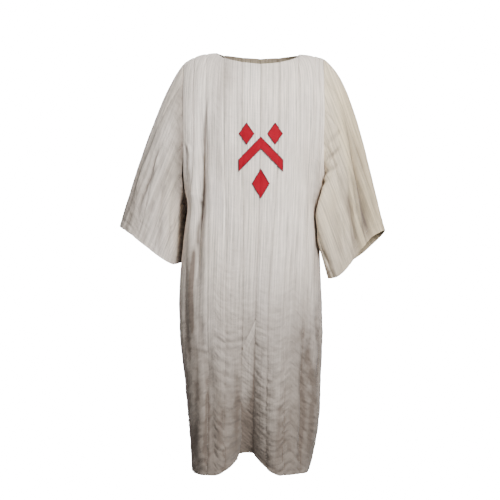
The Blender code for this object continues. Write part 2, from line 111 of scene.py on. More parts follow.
def cloudNoise(u, v, seed):
    return (softNoise(u, v, seed) + 0.5 * softNoise(2 * u, 2 * v, seed + 1)
            + 0.25 * softNoise(4 * u, 4 * v, seed + 2)) / 1.4


def rowsOf(table):
    return [dict(zip(table, row)) for row in zip(*table.values())]


# The cut of the body, in millimetres down from the shoulder line

cut = {
    "length": 1238.0,
    "underarm": 405.0,
    "goreTop": 758.0,
    "neckFront": 85.0,  # how far the neckline stands in front of the shoulder line, and behind it
    "neckBack": 58.0,
    "neckDipFront": 25.0,  # how far it drops at its middle
    "neckDipBack": 6.0,
    "neckPlace": 0.52,  # where it ends, as a share of the way across half a panel
    "armholeFront": 82.0,  # half widths of the armhole
    "armholeBack": 80.0,
    "armholeBlend": 90.0,  # height above the underarm over which a ring opens into the armhole
    "armholeSoft": 0.35,
    "armholeTurn": math.radians(62),
    "squareX": 0.80,  # under 1 gives a ring fuller than an ellipse
    "squareY": 0.68,
    "shoulderRoll": 118.0,  # height over which the cloth rolls from the shoulder down to the chest
}
sides = {
    "right": {"sign": -1, "neck": 118, "neckRise": 7, "tip": 218, "tipDrop": 24, "tipCurve": 2.4},
    "left": {"sign": 1, "neck": 122, "neckRise": 3, "tip": 194, "tipDrop": 9, "tipCurve": 1.8},
}
# rings of the body: how far the cloth reaches each way at each drop
rings = {
    "drop": [0, 60, 150, 260, 385, 440, 520, 620, 720, 840, 960, 1080, 1160, 1250],
    "right": [218, 219, 219, 218, 216, 206, 216, 226, 233, 231, 220, 209, 203, 199],
    "left": [194, 195, 195, 194, 194, 182, 184, 187, 192, 195, 190, 187, 177, 159],
    "front": [104, 114, 124, 128, 127, 128, 130, 132, 135, 138, 141, 144, 145, 146],
    "back": [84, 98, 112, 118, 113, 112, 113, 116, 121, 128, 135, 142, 146, 148],
}
centreLine = {"drop": [0, 500, 700, 900, 1240], "x": [9, 3, -5, -9, -11]}
# the hollow of the front below the gore's tip, and the lie of the hem
hollow = {
    "top": 758.0, "depth": 96.0, "reach": 80.0, "gap": 38.0, "opens": 110.0,
    "gore": 16.0, "goreTopFold": 0.12, "lift": 46.0, "sag": 12.0,
}

# Large folds: ends, half width and depth. A negative depth is a ridge
frontFolds = {
    "x0": [-146, -170, -118, 158, -152, -96, 100, 146],
    "drop0": [120, 200, 120, 140, 760, 840, 860, 780],
    "x1": [-196, -214, -128, 160, -126, -92, 92, 128],
    "drop1": [760, 800, 560, 640, 1300, 1180, 1300, 1300],
    "width": [15, 13, 26, 20, 19, 20, 22, 20],
    "depth": [23, -8, 5, 6, 12, 7, 6, 11],
}
backFolds = {
    "x0": [-150, 148, -84, -30, 18, 92, -142],
    "drop0": [190, 180, 360, 620, 520, 440, 860],
    "x1": [-168, 160, -104, -34, 26, 104, -138],
    "drop1": [760, 780, 1300, 1300, 1300, 1300, 1300],
    "width": [22, 22, 26, 24, 26, 24, 18],
    "depth": [12, 12, 13, -9, 14, 11, 8],
}


def armholeShare(row):
    turn = np.linspace(0, math.pi, 240)
    halfHeight = (cut["underarm"] - sides["right"]["tipDrop"]) / 2
    steps = np.hypot(np.diff(cut["armholeFront"] * np.sin(turn)), np.diff(halfHeight * np.cos(turn)))
    along = np.concatenate([[0], np.cumsum(steps)]) / steps.sum()
    return (1 - np.cos(np.interp(row, along, turn))) / 2


def topEdge(side, face, c):
    centre = centreLine["x"][0] * side["sign"]
    turn = np.clip(c / cut["neckPlace"], 0, 1) * math.pi / 2
    out = np.clip((c - cut["neckPlace"]) / (1 - cut["neckPlace"]), 0, 1)
    x = centre + (side["neck"] - centre) * np.sin(turn) + (side["tip"] - side["neck"]) * out
    stand = -cut["neckFront"] if face == "front" else cut["neckBack"]
    dip = cut["neckDipFront"] if face == "front" else cut["neckDipBack"]
    drop = dip * np.cos(turn) - side["neckRise"] * np.sin(turn)
    drop = drop + (side["tipDrop"] + side["neckRise"]) * out ** side["tipCurve"]
    return side["sign"] * x, stand * np.cos(turn), drop


def flapGap(side, drop):
    return hollow["gap"] * comesIn(drop, cut["goreTop"], hollow["opens"]) * (side["sign"] < 0)


def flapEdge(side, drop):
    return curveThrough(centreLine, "x", drop) - flapGap(side, drop)


def hemDrop(side, name, face, x):
    level = cut["length"] + hollow["sag"] * (x / curveThrough(rings, name, cut["length"])) ** 4
    if face == "back":
        return level
    near = np.clip(1 - np.abs(x - flapEdge(side, cut["length"])) / hollow["reach"], 0, 1)
    return level - hollow["lift"] * near**1.5


def ringPoint(side, name, face, c, drop, intoArmhole):
    reach = curveThrough(rings, name, drop)
    middle = flapEdge(side, drop) if face == "front" else curveThrough(centreLine, "x", drop)
    centre = middle * side["sign"]
    turn = math.pi / 2 + (cut["armholeTurn"] - math.pi / 2) * intoArmhole
    squareX = cut["squareX"] + (1 - cut["squareX"]) * intoArmhole
    across = (np.sin(c * turn) / np.sin(turn)) ** squareX
    end = np.clip(np.cos(turn), 0, 1) ** cut["squareY"]
    roundOff = (np.clip(np.cos(c * turn), 0, 1) ** cut["squareY"] - end) / (1 - end)
    half = (cut["underarm"] - side["tipDrop"]) / 2
    below = np.clip((drop - side["tipDrop"] - half) / half, 0, 1)
    room = 1 - below**2
    soft = room**2 / (room**3 + cut["armholeSoft"] ** 3) ** 0.5
    atSeam = c**10
    halfWidth = cut["armholeFront"] if face == "front" else cut["armholeBack"]
    edge = halfWidth * (np.sqrt(room) * atSeam + soft * (1 - atSeam))
    depth = edge + (curveThrough(rings, face, drop) - edge) * roundOff
    return side["sign"] * (centre + (reach - centre) * across), depth


def bodyDrape(name, face, c, r, hollowed=1.0):
    # the drape of one half of a front or back before its folds
    # r is 0 at the top edge, 1 at the underarm, 2 at the hem; c is 0 at the centre, 1 at the side
    side = sides[name]
    c, r = np.clip(c, 0, 1), np.clip(r, 0, 2)
    topX, topY, topDrop = topEdge(side, face, c)
    upper = topDrop + (cut["underarm"] - topDrop) * armholeShare(np.clip(r, 0, 1))
    hemX, _ = ringPoint(side, name, face, c, np.full_like(c, cut["length"]), 0)
    lower = cut["underarm"] + (hemDrop(side, name, face, hemX) - cut["underarm"]) * np.clip(r - 1, 0, 1)
    drop = np.where(r <= 1, upper, lower)
    x, depth = ringPoint(side, name, face, c, drop, goesOut(drop, cut["underarm"], cut["armholeBlend"]))
    roll = cut["shoulderRoll"] * (1 - c**6) + (cut["underarm"] - side["tipDrop"]) / 2 * c**6
    t = np.clip((drop - topDrop) / roll, 0, 1)
    neck = np.cos(np.clip(c / cut["neckPlace"], 0, 1) * math.pi / 2)
    rolled = np.sqrt(np.clip(1 - (1 - t) ** 2, 0, 1)) * (1 - neck) + np.sin(t * math.pi / 2) * neck
    y = topY + ((-1 if face == "front" else 1) * depth - topY) * rolled
    x = topX + (x - topX) * ease(t)
    if face == "front":
        down = np.clip((drop - hollow["top"]) / (cut["length"] - hollow["top"]), 0, 1)
        near = np.clip(1 - np.abs(x - flapEdge(side, drop)) / hollow["reach"], 0, 1)
        y = y + hollowed * hollow["depth"] * down**1.15 * near**2
    return np.stack(np.broadcast_arrays(x, y, -drop), axis=-1).astype(float)


def gridNormals(points, outward, around=False):
    # unit normals of a grid of points, on the side that outward gives
    if around:
        wide = np.concatenate([points[:, -2:-1], points, points[:, 1:2]], axis=1)
        across = unit(wide[:, 2:] - wide[:, 1:-1]) + unit(wide[:, 1:-1] - wide[:, :-2])
    else:
        step = unit(np.diff(points, axis=1))
        across = np.concatenate([step[:, :1], step[:, 1:] + step[:, :-1], step[:, -1:]], axis=1)
    step = unit(np.diff(points, axis=0))
    along = np.concatenate([step[:1], step[1:] + step[:-1], step[-1:]], axis=0)
    normal = unit(np.cross(across, along))
    facing = np.where((normal * outward).sum(-1) < 0, -1.0, 1.0)
    return normal * facing[..., None]


def outwardOf(points):
    # away from the wearer, and upwards too on the shoulders
    return points * np.array([1.0, 1.4, 0.0]) + np.array([0.0, 0.0, 60.0]) * (points[..., 2:] > -120)


def pressFolds(folds, points):
    # how deep the body's large folds press it in
    total = np.zeros(points.shape[:-1])
    for fold in rowsOf(folds):
        start = np.array([fold["x0"], -fold["drop0"]])
        run = np.array([fold["x1"], -fold["drop1"]]) - start
        share = ((points[..., [0, 2]] - start) @ run) / (run @ run)
        off = points[..., 0] - (fold["x0"] + run[0] * share)
        depth = fold["depth"] * ease(share / 0.3) * goesOut(share, 1, 0.3)
        total += depth * bell(off / fold["width"])
    return total


# The cloth: layers of linen sewn together in upright channels

quilt = {
    "channel": 54.0,  # from one row of stitches to the next
    "full": 3.0,  # thickness between the rows
    "dip": 1.5,  # how far a row of stitches draws it in
    "dipWidth": 2.6,
    "shoulder": 0.8,  # and the wider hollow beside it
    "shoulderWidth": 10.0,
    "pucker": 1.5,  # height of the drag lines, their pitch and how steeply they rise to the middle
    "puckerPitch": 33.0,
    "puckerLean": 0.62,
    "puckerLag": 3.1,  # how far each channel's drag lines lag behind the last one's, in turns
    "puckerFrom": 640.0,  # they grow from this drop to this one
    "puckerFull": 900.0,
    "crumple": 1.7,
    "nips": 0.13,  # small dents beside a row
    "least": 0.6,
    "most": 5.2,
    "hemRow": 14.0,  # the row of stitches above the hem
    "hemDip": 0.9,
    "hemWidth": 2.0,
    "lineWidth": 2.0,  # of the colour along a row
    "wall": 2.2,
}
# places of the grid's columns in one channel: close together beside the rows
channelSteps = [0.0, 0.022, 0.046, 0.078, 0.125, 0.19, 0.28, 0.39]
channelColumns = channelSteps + [0.5] + [1 - s for s in channelSteps[:0:-1]]
# places of the first rows of stitches from the centre, at the chest and at the skirt
rowPlaces = {"chest": [0, 54, 108, 159], "skirt": [0, 37, 88, 141], "from": 150.0, "full": 800.0}
bodyMesh = {"channels": 5, "upperRows": 122, "lowerRows": 262, "backUpperRows": 84, "backLowerRows": 168}


def columnPlaces(channels):
    return np.array([k + s for k in range(channels) for s in channelColumns] + [channels])


def crease(path, width, depth, ridge, dark=0.0, line=1.0):
    # a path of x and drop, half width, depth, the side of its ridge, and how dark and wide the painted shade
    # line at its bottom is
    return {"path": path, "width": width, "depth": depth, "ridge": ridge, "dark": dark, "line": line}


frontCreases = [
    crease([(-136, 70), (-150, 170), (-152, 280), (-156, 360), (-161, 430), (-169, 490), (-180, 550),
            (-188, 610), (-193, 680), (-195, 760), (-188, 850)], 6.5, 2.6, 0, dark=1.7, line=4.6),
    crease([(-148, 120), (-150, 260), (-152, 400)], 9, -3.0, 0),
    crease([(-216, 190), (-198, 266), (-199, 305), (-203, 370)], 6, -4.5, 0),
    crease([(-216, 240), (-206, 290), (-208, 380)], 5, 5, 1),
    crease([(-217, 180), (-206, 226), (-195, 270)], 5, 4, 1, dark=0.3, line=3.0),
    crease([(-118, 60), (-124, 200), (-128, 420)], 14, 2.5, 0),
    crease([(-160, 570), (-168, 650), (-174, 740), (-166, 850), (-150, 960)], 8, 4.5, 1),
    crease([(-212, 560), (-214, 680), (-208, 820), (-196, 960)], 7, 4.5, -1),
    crease([(-186, 800), (-176, 900), (-182, 1020), (-186, 1235)], 8, 4.0, 1),
    crease([(-160, 900), (-150, 1010), (-156, 1130), (-150, 1240)], 8, 4.0, -1),
    crease([(-120, 960), (-112, 1060), (-118, 1190)], 9, 2.5, 1),
    crease([(-64, 880), (-58, 1000), (-66, 1200)], 9, 2.5, 1),
    crease([(60, 1000), (64, 1100), (54, 1230)], 9, 2.2, -1),
    crease([(100, 620), (110, 760), (106, 900)], 12, 1.8, 0),
    crease([(136, 90), (146, 240), (142, 420)], 12, 3.0, 1),
    crease([(154, 330), (158, 480), (152, 640)], 9, 3.5, 1),
    crease([(170, 380), (174, 500), (172, 700), (176, 900)], 6, 5, -1),
    crease([(150, 640), (156, 800), (148, 960)], 8, 4, 1),
    crease([(128, 900), (134, 1040), (124, 1235)], 8, 4.5, -1),
    crease([(160, 820), (166, 980), (158, 1120), (150, 1235)], 8, 4.5, 1),
    crease([(178, 700), (180, 860), (174, 1060)], 6, 4, 1),
]
backCreases = [
    crease([(-176, 160), (-160, 300), (-162, 470), (-170, 640)], 8, 7, 1),
    crease([(-192, 250), (-178, 400), (-184, 600)], 8, 5, -1),
    crease([(168, 150), (150, 300), (154, 480), (162, 660)], 8, 7, -1),
    crease([(174, 420), (166, 560), (170, 720)], 7, 4, 1),
    crease([(-120, 300), (-126, 560), (-116, 840), (-122, 1100)], 11, 3.5, 1),
    crease([(-60, 460), (-72, 700), (-66, 1000)], 12, 3, -1),
    crease([(60, 400), (66, 700), (72, 1000), (66, 1235)], 12, 3.5, 1),
    crease([(120, 620), (128, 860), (122, 1180)], 10, 4, -1),
    crease([(2, 700), (8, 900), (4, 1235)], 11, 3, 1),
    crease([(-160, 700), (-168, 880), (-172, 1100), (-166, 1235)], 8, 5, 1),
    crease([(160, 740), (154, 900), (150, 1100), (154, 1235)], 8, 5, -1),
    crease([(-96, 900), (-100, 1080), (-94, 1235)], 9, 3, -1),
]


def alongCrease(shape, number, points):
    # how far to the side of a crease each point lies, and its share of the way down it
    xs, drops = np.array(shape["path"], float).T
    fineDrop = np.linspace(drops[0], drops[-1], 60)
    fineX = np.interp(fineDrop, drops, xs)
    for _ in range(6):
        fineX[1:-1] = (fineX[:-2] + 2 * fineX[1:-1] + fineX[2:]) / 4
    drop = -points[..., 2]
    share = (drop - drops[0]) / (drops[-1] - drops[0])
    wander = 3 * softNoise(share * 4 + 7 * number, 0 * share, 5 + number)
    return points[..., 0] - np.interp(drop, fineDrop, fineX) + wander, share


def pressCreases(creases, points):
    # a soft trough with a lower ridge along one side, wandering a little
    total = np.zeros(points.shape[:-1])
    for number, shape in enumerate(creases):
        beside, share = alongCrease(shape, number, points)
        off = beside / shape["width"]
        trough = bell(off)
        trough = trough - 0.45 * abs(shape["ridge"]) * np.exp(-((off - 2 * shape["ridge"]) ** 2) / 1.8)
        uneven = 0.75 + 0.25 * softNoise(share * 5, 0 * share, 31 + number)
        total += shape["depth"] * uneven * ease(share / 0.2) * goesOut(share, 1, 0.25) * trough
    return total


def creaseShadeLines(creases, points):
    # the thin painted shade line at the bottom of a sharp crease
    total = np.zeros(points.shape[:-1])
    for number, shape in enumerate(creases):
        if shape["dark"]:
            beside, share = alongCrease(shape, number, points)
            off = beside / shape["line"]
            total += shape["dark"] * ease(share / 0.25) * goesOut(share, 1, 0.2) * bell(off)
    return total


def quiltHeight(q, u, v, strength, seed):
    # height of the outer face over the inner one; q counts the rows of stitches
    channel = np.floor(q)
    inside = q - channel
    away = np.minimum(inside, 1 - inside) * quilt["channel"]
    height = quilt["full"] - quilt["dip"] * bell(away / quilt["dipWidth"])
    height = height - quilt["shoulder"] * bell(away / quilt["shoulderWidth"])
    lag = quilt["puckerLag"] * channel + 0.7 * softNoise(channel * 1.7 + 0.5, v / 110, seed + 3)
    phase = (v - quilt["puckerLean"] * np.abs(u)) / quilt["puckerPitch"] + lag
    phase = phase + 0.75 * softNoise(u / 46, v / 62, seed + 5)
    phase = phase + 0.6 * softNoise(channel * 1.3 + 0.2, v / 130, seed + 6)
    wave = np.sin(2 * math.pi * phase)
    groups = ease(0.30 + 0.95 * softNoise(channel * 0.83 + 0.4 + u / 90, v / 70, seed + 7))
    groups = groups * np.clip(channel + 0.35, 0, 1)  # few beside the middle seam
    envelope = 0.75 + 0.25 * np.exp(-away / 9)
    height = height + quilt["pucker"] * strength * groups * envelope * wave
    height = height + quilt["crumple"] * (0.16 + 0.84 * strength) * cloudNoise(u / 24, v / 30, seed + 9)
    nips = softNoise(u / 50, v / 7.5, seed + 13) * np.exp(-away / 5)
    return height + quilt["nips"] * nips


def placeOnCloth(points):
    # running length across and down a grid, in millimetres
    across = np.linalg.norm(np.diff(points, axis=1), axis=2)
    down = np.linalg.norm(np.diff(points, axis=0), axis=2)
    u = np.concatenate([np.zeros((len(points), 1)), np.cumsum(across, axis=1)], axis=1)
    v = np.concatenate([np.zeros((1, points.shape[1])), np.cumsum(down, axis=0)], axis=0)
    return u, v


def makeCloth(name, points, uv, wearAndShade, around=False):
    # a grid, its vertices moved to their places, with its place on the cloth, and its wear and painted shade
    rows, columns = points.shape[:2]
    deselectAll()
    bpy.ops.mesh.primitive_grid_add(x_subdivisions=columns - 1, y_subdivisions=rows - 1, size=2)
    piece = bpy.context.object
    piece.name = piece.data.name = name
    mesh = piece.data
    flat = np.empty(len(mesh.vertices) * 3)
    mesh.vertices.foreach_get("co", flat)
    flat = flat.reshape(-1, 3)
    column = np.rint((flat[:, 0] + 1) / 2 * (columns - 1)).astype(int)
    row = np.rint((1 - flat[:, 1]) / 2 * (rows - 1)).astype(int)
    mesh.vertices.foreach_set("co", (points[row, column] * mm).ravel())
    corner = np.empty(len(mesh.loops), int)
    mesh.loops.foreach_get("vertex_index", corner)
    layer = mesh.uv_layers[0]
    layer.name = "cloth"
    layer.data.foreach_set("uv", (uv[row, column] * mm)[corner].ravel())
    colours = mesh.color_attributes.new("wearAndShade", "FLOAT_COLOR", "POINT")
    colours.data.foreach_set("color", wearAndShade[row, column].ravel())
    mesh.update()
    if around:
        editAll(piece, lambda: bpy.ops.mesh.remove_doubles(threshold=0.00002))
    editAll(piece, lambda: bpy.ops.mesh.normals_make_consistent(inside=False))
    return piece


def faceOutwards(piece, outwardAt):
    # flips the cloth if its faces look to the wearer
    faces = piece.data.polygons
    some = [faces[k] for k in range(0, len(faces), max(1, len(faces) // 400))]
    if sum(face.normal.dot(outwardAt(face.center)) * face.area for face in some) < 0:
        editAll(piece, bpy.ops.mesh.flip_normals)


def thicken(piece, wall, cloth, lining):
    piece.data.materials.append(cloth)
    piece.data.materials.append(lining)
    solid = piece.modifiers.new("wall", "SOLIDIFY")
    solid.thickness = wall * mm
    solid.offset = -1
    solid.material_offset = 1
    solid.material_offset_rim = 0
    makeActive(piece)
    bpy.ops.object.modifier_apply(modifier=solid.name)
    bpy.ops.object.shade_smooth_by_angle(angle=math.radians(55))


def addToFrame(piece, replaced=None):
    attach(piece, "root")
    if replaced:
        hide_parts(replaced)


def makeWall(piece, outwardAt, wall, finishes, node):
    faceOutwards(piece, outwardAt)
    thicken(piece, wall, *finishes)
    addToFrame(piece, node)


def outwardFromAxis(point):
    return Vector((point.x, point.y * 1.4, 0.06 if point.z > -0.12 else 0.0))


def forwards(point):
    return Vector((0, -1, 0))


def bodyPanel(name, face, q, upperRows, lowerRows):
    # points of half a front or half a back, with the place of each on the cloth
    side = sides[name]
    rowShare = np.linspace(0, 1, upperRows + 1)
    fine = np.linspace(0, 1, 500)
    r = np.concatenate([rowShare, 1 + np.linspace(0, 1, lowerRows + 1)[1:]])
    rTable = np.linspace(0, 1, 2000)
    bend = fine[None] ** 4
    share = (1 - bend) * rowShare[:, None] + bend * armholeShare(rowShare)[:, None]
    fineR = np.concatenate([np.interp(share, armholeShare(rTable), rTable),
                            np.repeat(r[upperRows + 1:, None], len(fine), axis=1)])
    fineC = np.repeat(fine[None], len(r), axis=0)
    plain = bodyDrape(name, face, fineC, fineR, hollowed=0.0)
    along, _ = placeOnCloth(plain)
    chest, skirt = np.array(rowPlaces["chest"], float), np.array(rowPlaces["skirt"], float)
    c = np.empty((len(r), len(q)))
    u = np.empty_like(c)
    for k in range(len(r)):
        drop = -plain[k, 0, 2]
        gap = float(flapGap(side, drop)) if face == "front" else 0.0
        lean = float(ease((drop - rowPlaces["from"]) / (rowPlaces["full"] - rowPlaces["from"])))
        if face == "back":
            lean = 0.5 * lean
        targets = chest + (skirt - chest) * lean
        targets[1:] += 1.4 * softNoise(np.array([1.5, 2.5, 3.5]), np.full(3, drop / 130), 3 + side["sign"])
        width = np.abs(plain[k, :, 0] - curveThrough(centreLine, "x", drop))
        width = np.maximum.accumulate(width)
        at = np.interp(targets[1:], width, along[k])
        stops = np.concatenate([[0], at, [along[k, -1]]])
        where = np.interp(q, [0, 1, 2, 3, bodyMesh["channels"]], stops)
        c[k] = np.interp(where, along[k], fine)
        u[k] = where + gap
    rr = np.array([np.interp(c[k], fine, fineR[k]) for k in range(len(r))])
    _, v = placeOnCloth(bodyDrape(name, face, c, rr, hollowed=0.0))
    points = bodyDrape(name, face, c, rr)
    folds = frontFolds if face == "front" else backFolds
    normal = gridNormals(points, outwardOf(points))
    points = points - normal * (pressFolds(folds, points) * (1 - c**12))[..., None]
    return points, u, v, c


# Stains and painted shade: middle, half width, half height and strength; a negative one is a cleaner patch.
# Some front ones paint the shade of the deep creases, under the arms and by the neck
frontStainsAndShade = {
    "x": [-198, -202, -70, 178, 190, -4, -205, 190, -90, 104, -199, 134, 175, -196, 12, -92, -154, 52],
    "drop": [1120, 700, 1120, 1080, 700, 1120, 540, 560, 1215, 1205, 650, 860, 440, 1090, 1160, 70, 400, 980],
    "wide": [34, 24, 30, 40, 10, 16, 18, 16, 70, 50, 7, 13, 13, 15, 20, 32, 12, 30],
    "high": [220, 200, 110, 230, 150, 170, 170, 190, 50, 60, 130, 160, 150, 110, 90, 66, 130, 130],
    "share": [0.10, 0.16, 0.12, 0.08, 0.10, 0.10, 0.12, 0.16, 0.08,
              0.20, 0.50, 0.20, 0.60, -0.30, -0.10, 0.48, 0.42, -0.12],
}
backStains = {
    "x": [-170, 176, 20, -60],
    "drop": [1120, 1060, 1190, 700],
    "wide": [50, 46, 90, 40],
    "high": [200, 220, 60, 160],
    "share": [0.30, 0.28, 0.22, 0.10],
}


def placedStainsAndShade(face, points):
    total = np.zeros(points.shape[:-1])
    for stain in rowsOf(frontStainsAndShade if face == "front" else backStains):
        across = (points[..., 0] - stain["x"]) / stain["wide"]
        down = (-points[..., 2] - stain["drop"]) / stain["high"]
        total += stain["share"] * np.exp(-(across**2) - down**2)
    return total


# Grime and painted shade by the drop, part grime and part painted shade where the light falls off towards the
# hem: where it begins, the height over which it comes in, and its share
grimeAndShadeBands = {"from": [400, 470, 860], "over": [200, 420, 340], "share": [0.07, 0.60, 0.40]}
grimeAndShade = {
    "even": 0.97,
    "mottle": {"share": 0.2, "wide": 90, "high": 150},
    # neck: painted shade where the cloth rolls over the shoulders by the neckline
    "neck": {"share": 0.16, "to": 130, "over": 120},
    "hem": {"share": 0.15, "from": 1120, "over": 110},
    "tide": {"share": 0.13, "drop": 880, "high": 170},
    "yellow": {"least": 0.12, "share": 0.10, "wide": 160, "high": 220},
}
# how light the cloth is along each row of stitches, from the centre out; 0.5 is plain, above it a painted
# highlight along the row and below it a painted shade in the row's dip
rowHighlightsAndShades = {"right": [0.22, 0.16, 1.0, 0.70, 0.30, 0.3], "left": [0.22, 0.26, 1.0, 0.80, 0.30, 0.3]}


def bodyGrimeAndShade(face, points, u, v, seed):
    # grime, with painted shade towards the hem, below the neckline and in some placed patches
    drop = -points[..., 2]
    mottle, neck, hem, tide = [grimeAndShade[part] for part in ("mottle", "neck", "hem", "tide")]
    soilAndShade = sum(band["share"] * comesIn(drop, band["from"], band["over"]) for band in rowsOf(grimeAndShadeBands))
    cloud = cloudNoise(u / mottle["wide"], v / mottle["high"], seed + 40)
    soilAndShade = soilAndShade * (grimeAndShade["even"] + mottle["share"] * cloud)
    soilAndShade = soilAndShade + neck["share"] * goesOut(drop, neck["to"], neck["over"])
    soilAndShade = soilAndShade + hem["share"] * comesIn(drop, hem["from"], hem["over"])
    soilAndShade = soilAndShade + tide["share"] * bell((drop - tide["drop"]) / tide["high"])
    return soilAndShade + placedStainsAndShade(face, points)


def rowHighlightAndShade(q, u, v, seed, rowLightsAndShades):
    # painted highlights and shades along the rows, with a faint mottle
    nearest = np.rint(np.abs(q)).astype(int)
    line = bell((np.abs(q) - nearest) * quilt["channel"] / quilt["lineWidth"])
    tone = 0.5 + (np.take(rowLightsAndShades, np.minimum(nearest, len(rowLightsAndShades) - 1)) - 0.5) * line
    return tone[None] + 0.05 * softNoise(u / 20, v / 60, seed + 80)


def packWearAndShade(soilAndShade, trough, yellow, tone):
    # four marks held in one colour: grime with some painted shade, the painted shade of creases, dips and
    # folds, yellowing, and the rows' painted highlights and shades
    return np.clip(np.stack([soilAndShade, trough, yellow, tone], axis=-1), 0, 1)


def finishPanel(points, q, u, v, c, face, seed, rowLightsAndShades):
    # the outer face of a front or a back, and its wear and painted shade
    drop = -points[..., 2]
    pressed = frontCreases if face == "front" else backCreases
    normal = gridNormals(points, outwardOf(points))
    creases = pressCreases(pressed, points) * ease(np.minimum(1, (1 - c) * 12))
    strength = 0.10 + 0.90 * ease((drop - quilt["puckerFrom"]) / (quilt["puckerFull"] - quilt["puckerFrom"]))
    strength = strength + 0.12 * ease((1 - np.abs(drop - 330) / 140))  # a few on the chest too
    height = quiltHeight(np.abs(q)[None] + 0 * u, u, v, strength, seed)
    hem = np.linalg.norm(points[-1] - points, axis=-1)
    hemRow = quilt["hemDip"] * bell((hem - quilt["hemRow"]) / quilt["hemWidth"])
    height = height - hemRow * (drop > 900)
    height = np.clip(height, quilt["least"], quilt["most"])
    outer = points + normal * (height - np.clip(creases, -5, 13))[..., None]
    # painted shade in the creases and the quilting's dips, with the painted shade lines of the sharpest
    # creases
    trough = (creases + np.maximum(0, quilt["full"] - height) * 0.9) / 9
    trough = 0.62 * np.clip(trough, 0, 1) + creaseShadeLines(pressed, points)
    tint = grimeAndShade["yellow"]
    yellow = tint["least"] + tint["share"] * cloudNoise(u / tint["wide"], v / tint["high"], seed + 60)
    return outer, packWearAndShade(bodyGrimeAndShade(face, points, u, v, seed), trough, yellow, rowHighlightAndShade(q, u, v, seed, rowLightsAndShades))


print("tables and cloth helpers ready")


# Finishes

def newMaterial(name):
    material = bpy.data.materials.new(name)
    material.use_nodes = True
    return material, material.node_tree, material.node_tree.nodes["Principled BSDF"]


def setSurface(shader, values):
    for label, value in values.items():
        shader.inputs[label].default_value = value


def addNode(tree, kind, **values):
    node = tree.nodes.new(kind)
    for key, value in values.items():
        if hasattr(node, key):
            setattr(node, key, value)
        else:
            node.inputs[key].default_value = value
    return node


def join(tree, slot, value):
    # a number or a colour goes on the socket, anything else is linked to it
    if isinstance(value, (int, float)):
        slot.default_value = value
    elif isinstance(value, tuple):
        slot.default_value = (*value, 1.0)
    elif value is not None:
        tree.links.new(value, slot)


def sums(tree, operation, a, b=None, clamp=False):
    node = addNode(tree, "ShaderNodeMath", operation=operation, use_clamp=clamp)
    join(tree, node.inputs[0], a)
    join(tree, node.inputs[1], b)
    return node.outputs[0]


def times(tree, a, b):
    return sums(tree, "MULTIPLY", a, b)


def plus(tree, a, b, clamp=False):
    return sums(tree, "ADD", a, b, clamp)


def about(tree, value, middle, share):
    # a mask turned into a small change about nothing
    return times(tree, sums(tree, "SUBTRACT", value, middle), share)


def mixColour(tree, blend, factor, a, b):
    node = addNode(tree, "ShaderNodeMix", data_type="RGBA", blend_type=blend)
    for slot, value in ((node.inputs[0], factor), (node.inputs[6], a), (node.inputs[7], b)):
        join(tree, slot, value)
    return node.outputs[2]


def greyOf(tree, value):
    node = addNode(tree, "ShaderNodeCombineColor")
    for slot in node.inputs:
        join(tree, slot, value)
    return node.outputs[0]


def noiseOf(tree, vector, scale, detail, rough=0.55, stretch=None):
    if stretch:
        mapping = addNode(tree, "ShaderNodeMapping")
        mapping.inputs["Scale"].default_value = stretch
        tree.links.new(vector, mapping.inputs["Vector"])
        vector = mapping.outputs[0]
    node = addNode(tree, "ShaderNodeTexNoise", Scale=scale, Detail=detail, Roughness=rough)
    tree.links.new(vector, node.inputs["Vector"])
    return node.outputs["Fac"]


def bandsOf(tree, vector, way, scale, distortion):
    node = addNode(tree, "ShaderNodeTexWave", wave_type="BANDS", bands_direction=way, Scale=scale,
                   Distortion=distortion, Detail=1.0)
    tree.links.new(vector, node.inputs["Vector"])
    return node.outputs["Fac"]


def newGroup(name, inputs, outputs):
    group = bpy.data.node_groups.new(name, "ShaderNodeTree")
    for label, kind in inputs.items():
        group.interface.new_socket(label, in_out="INPUT", socket_type=kind)
    for label in outputs:
        group.interface.new_socket(label, in_out="OUTPUT", socket_type="NodeSocketFloat")
    return group, group.nodes.new("NodeGroupInput"), group.nodes.new("NodeGroupOutput")


weaveLook = {
    "stripePitch": 42.0,  # wave scale of the self-coloured stripes, about 7.5 mm apart
    "threadPitch": 330.0,  # and of the threads, just under 1 mm
    "stripe": 0.10,
    "streak": 1.0,
    "slub": 0.62,
    "weft": 0.20,
    "thread": 0.10,
}


def makeLinenGroup():
    # slubbed plain weave: self-coloured stripes, thick and thin threads and a fine grid
    group, into, out = newGroup("linenWeave", {"Cloth": "NodeSocketVector"}, ["Tone", "Relief"])
    cloth = into.outputs["Cloth"]
    streaks = noiseOf(group, cloth, 185.0, 2.0, stretch=(1, 0.014, 1))
    slubs = noiseOf(group, cloth, 420.0, 2.0, stretch=(1, 0.035, 1))
    weft = noiseOf(group, cloth, 520.0, 2.0, stretch=(0.06, 1, 1))
    stripes = bandsOf(group, cloth, "X", weaveLook["stripePitch"], 0.6)
    warp = bandsOf(group, cloth, "X", weaveLook["threadPitch"], 1.2)
    cross = bandsOf(group, cloth, "Y", weaveLook["threadPitch"] * 0.94, 1.2)
    threads = times(group, warp, cross)
    tone = about(group, streaks, 0.5, weaveLook["streak"])
    for mask, middle, share in ((slubs, 0.5, "slub"), (weft, 0.5, "weft"), (threads, 0.25, "thread"),
                                (stripes, 0.5, "stripe")):
        tone = plus(group, tone, about(group, mask, middle, weaveLook[share]))
    relief = times(group, threads, 0.34)
    for mask, share in ((slubs, 0.40), (weft, 0.26), (stripes, 0.22), (streaks, 0.5)):
        relief = plus(group, relief, times(group, mask, share))
    group.links.new(tone, out.inputs["Tone"])
    group.links.new(relief, out.inputs["Relief"])
    return group


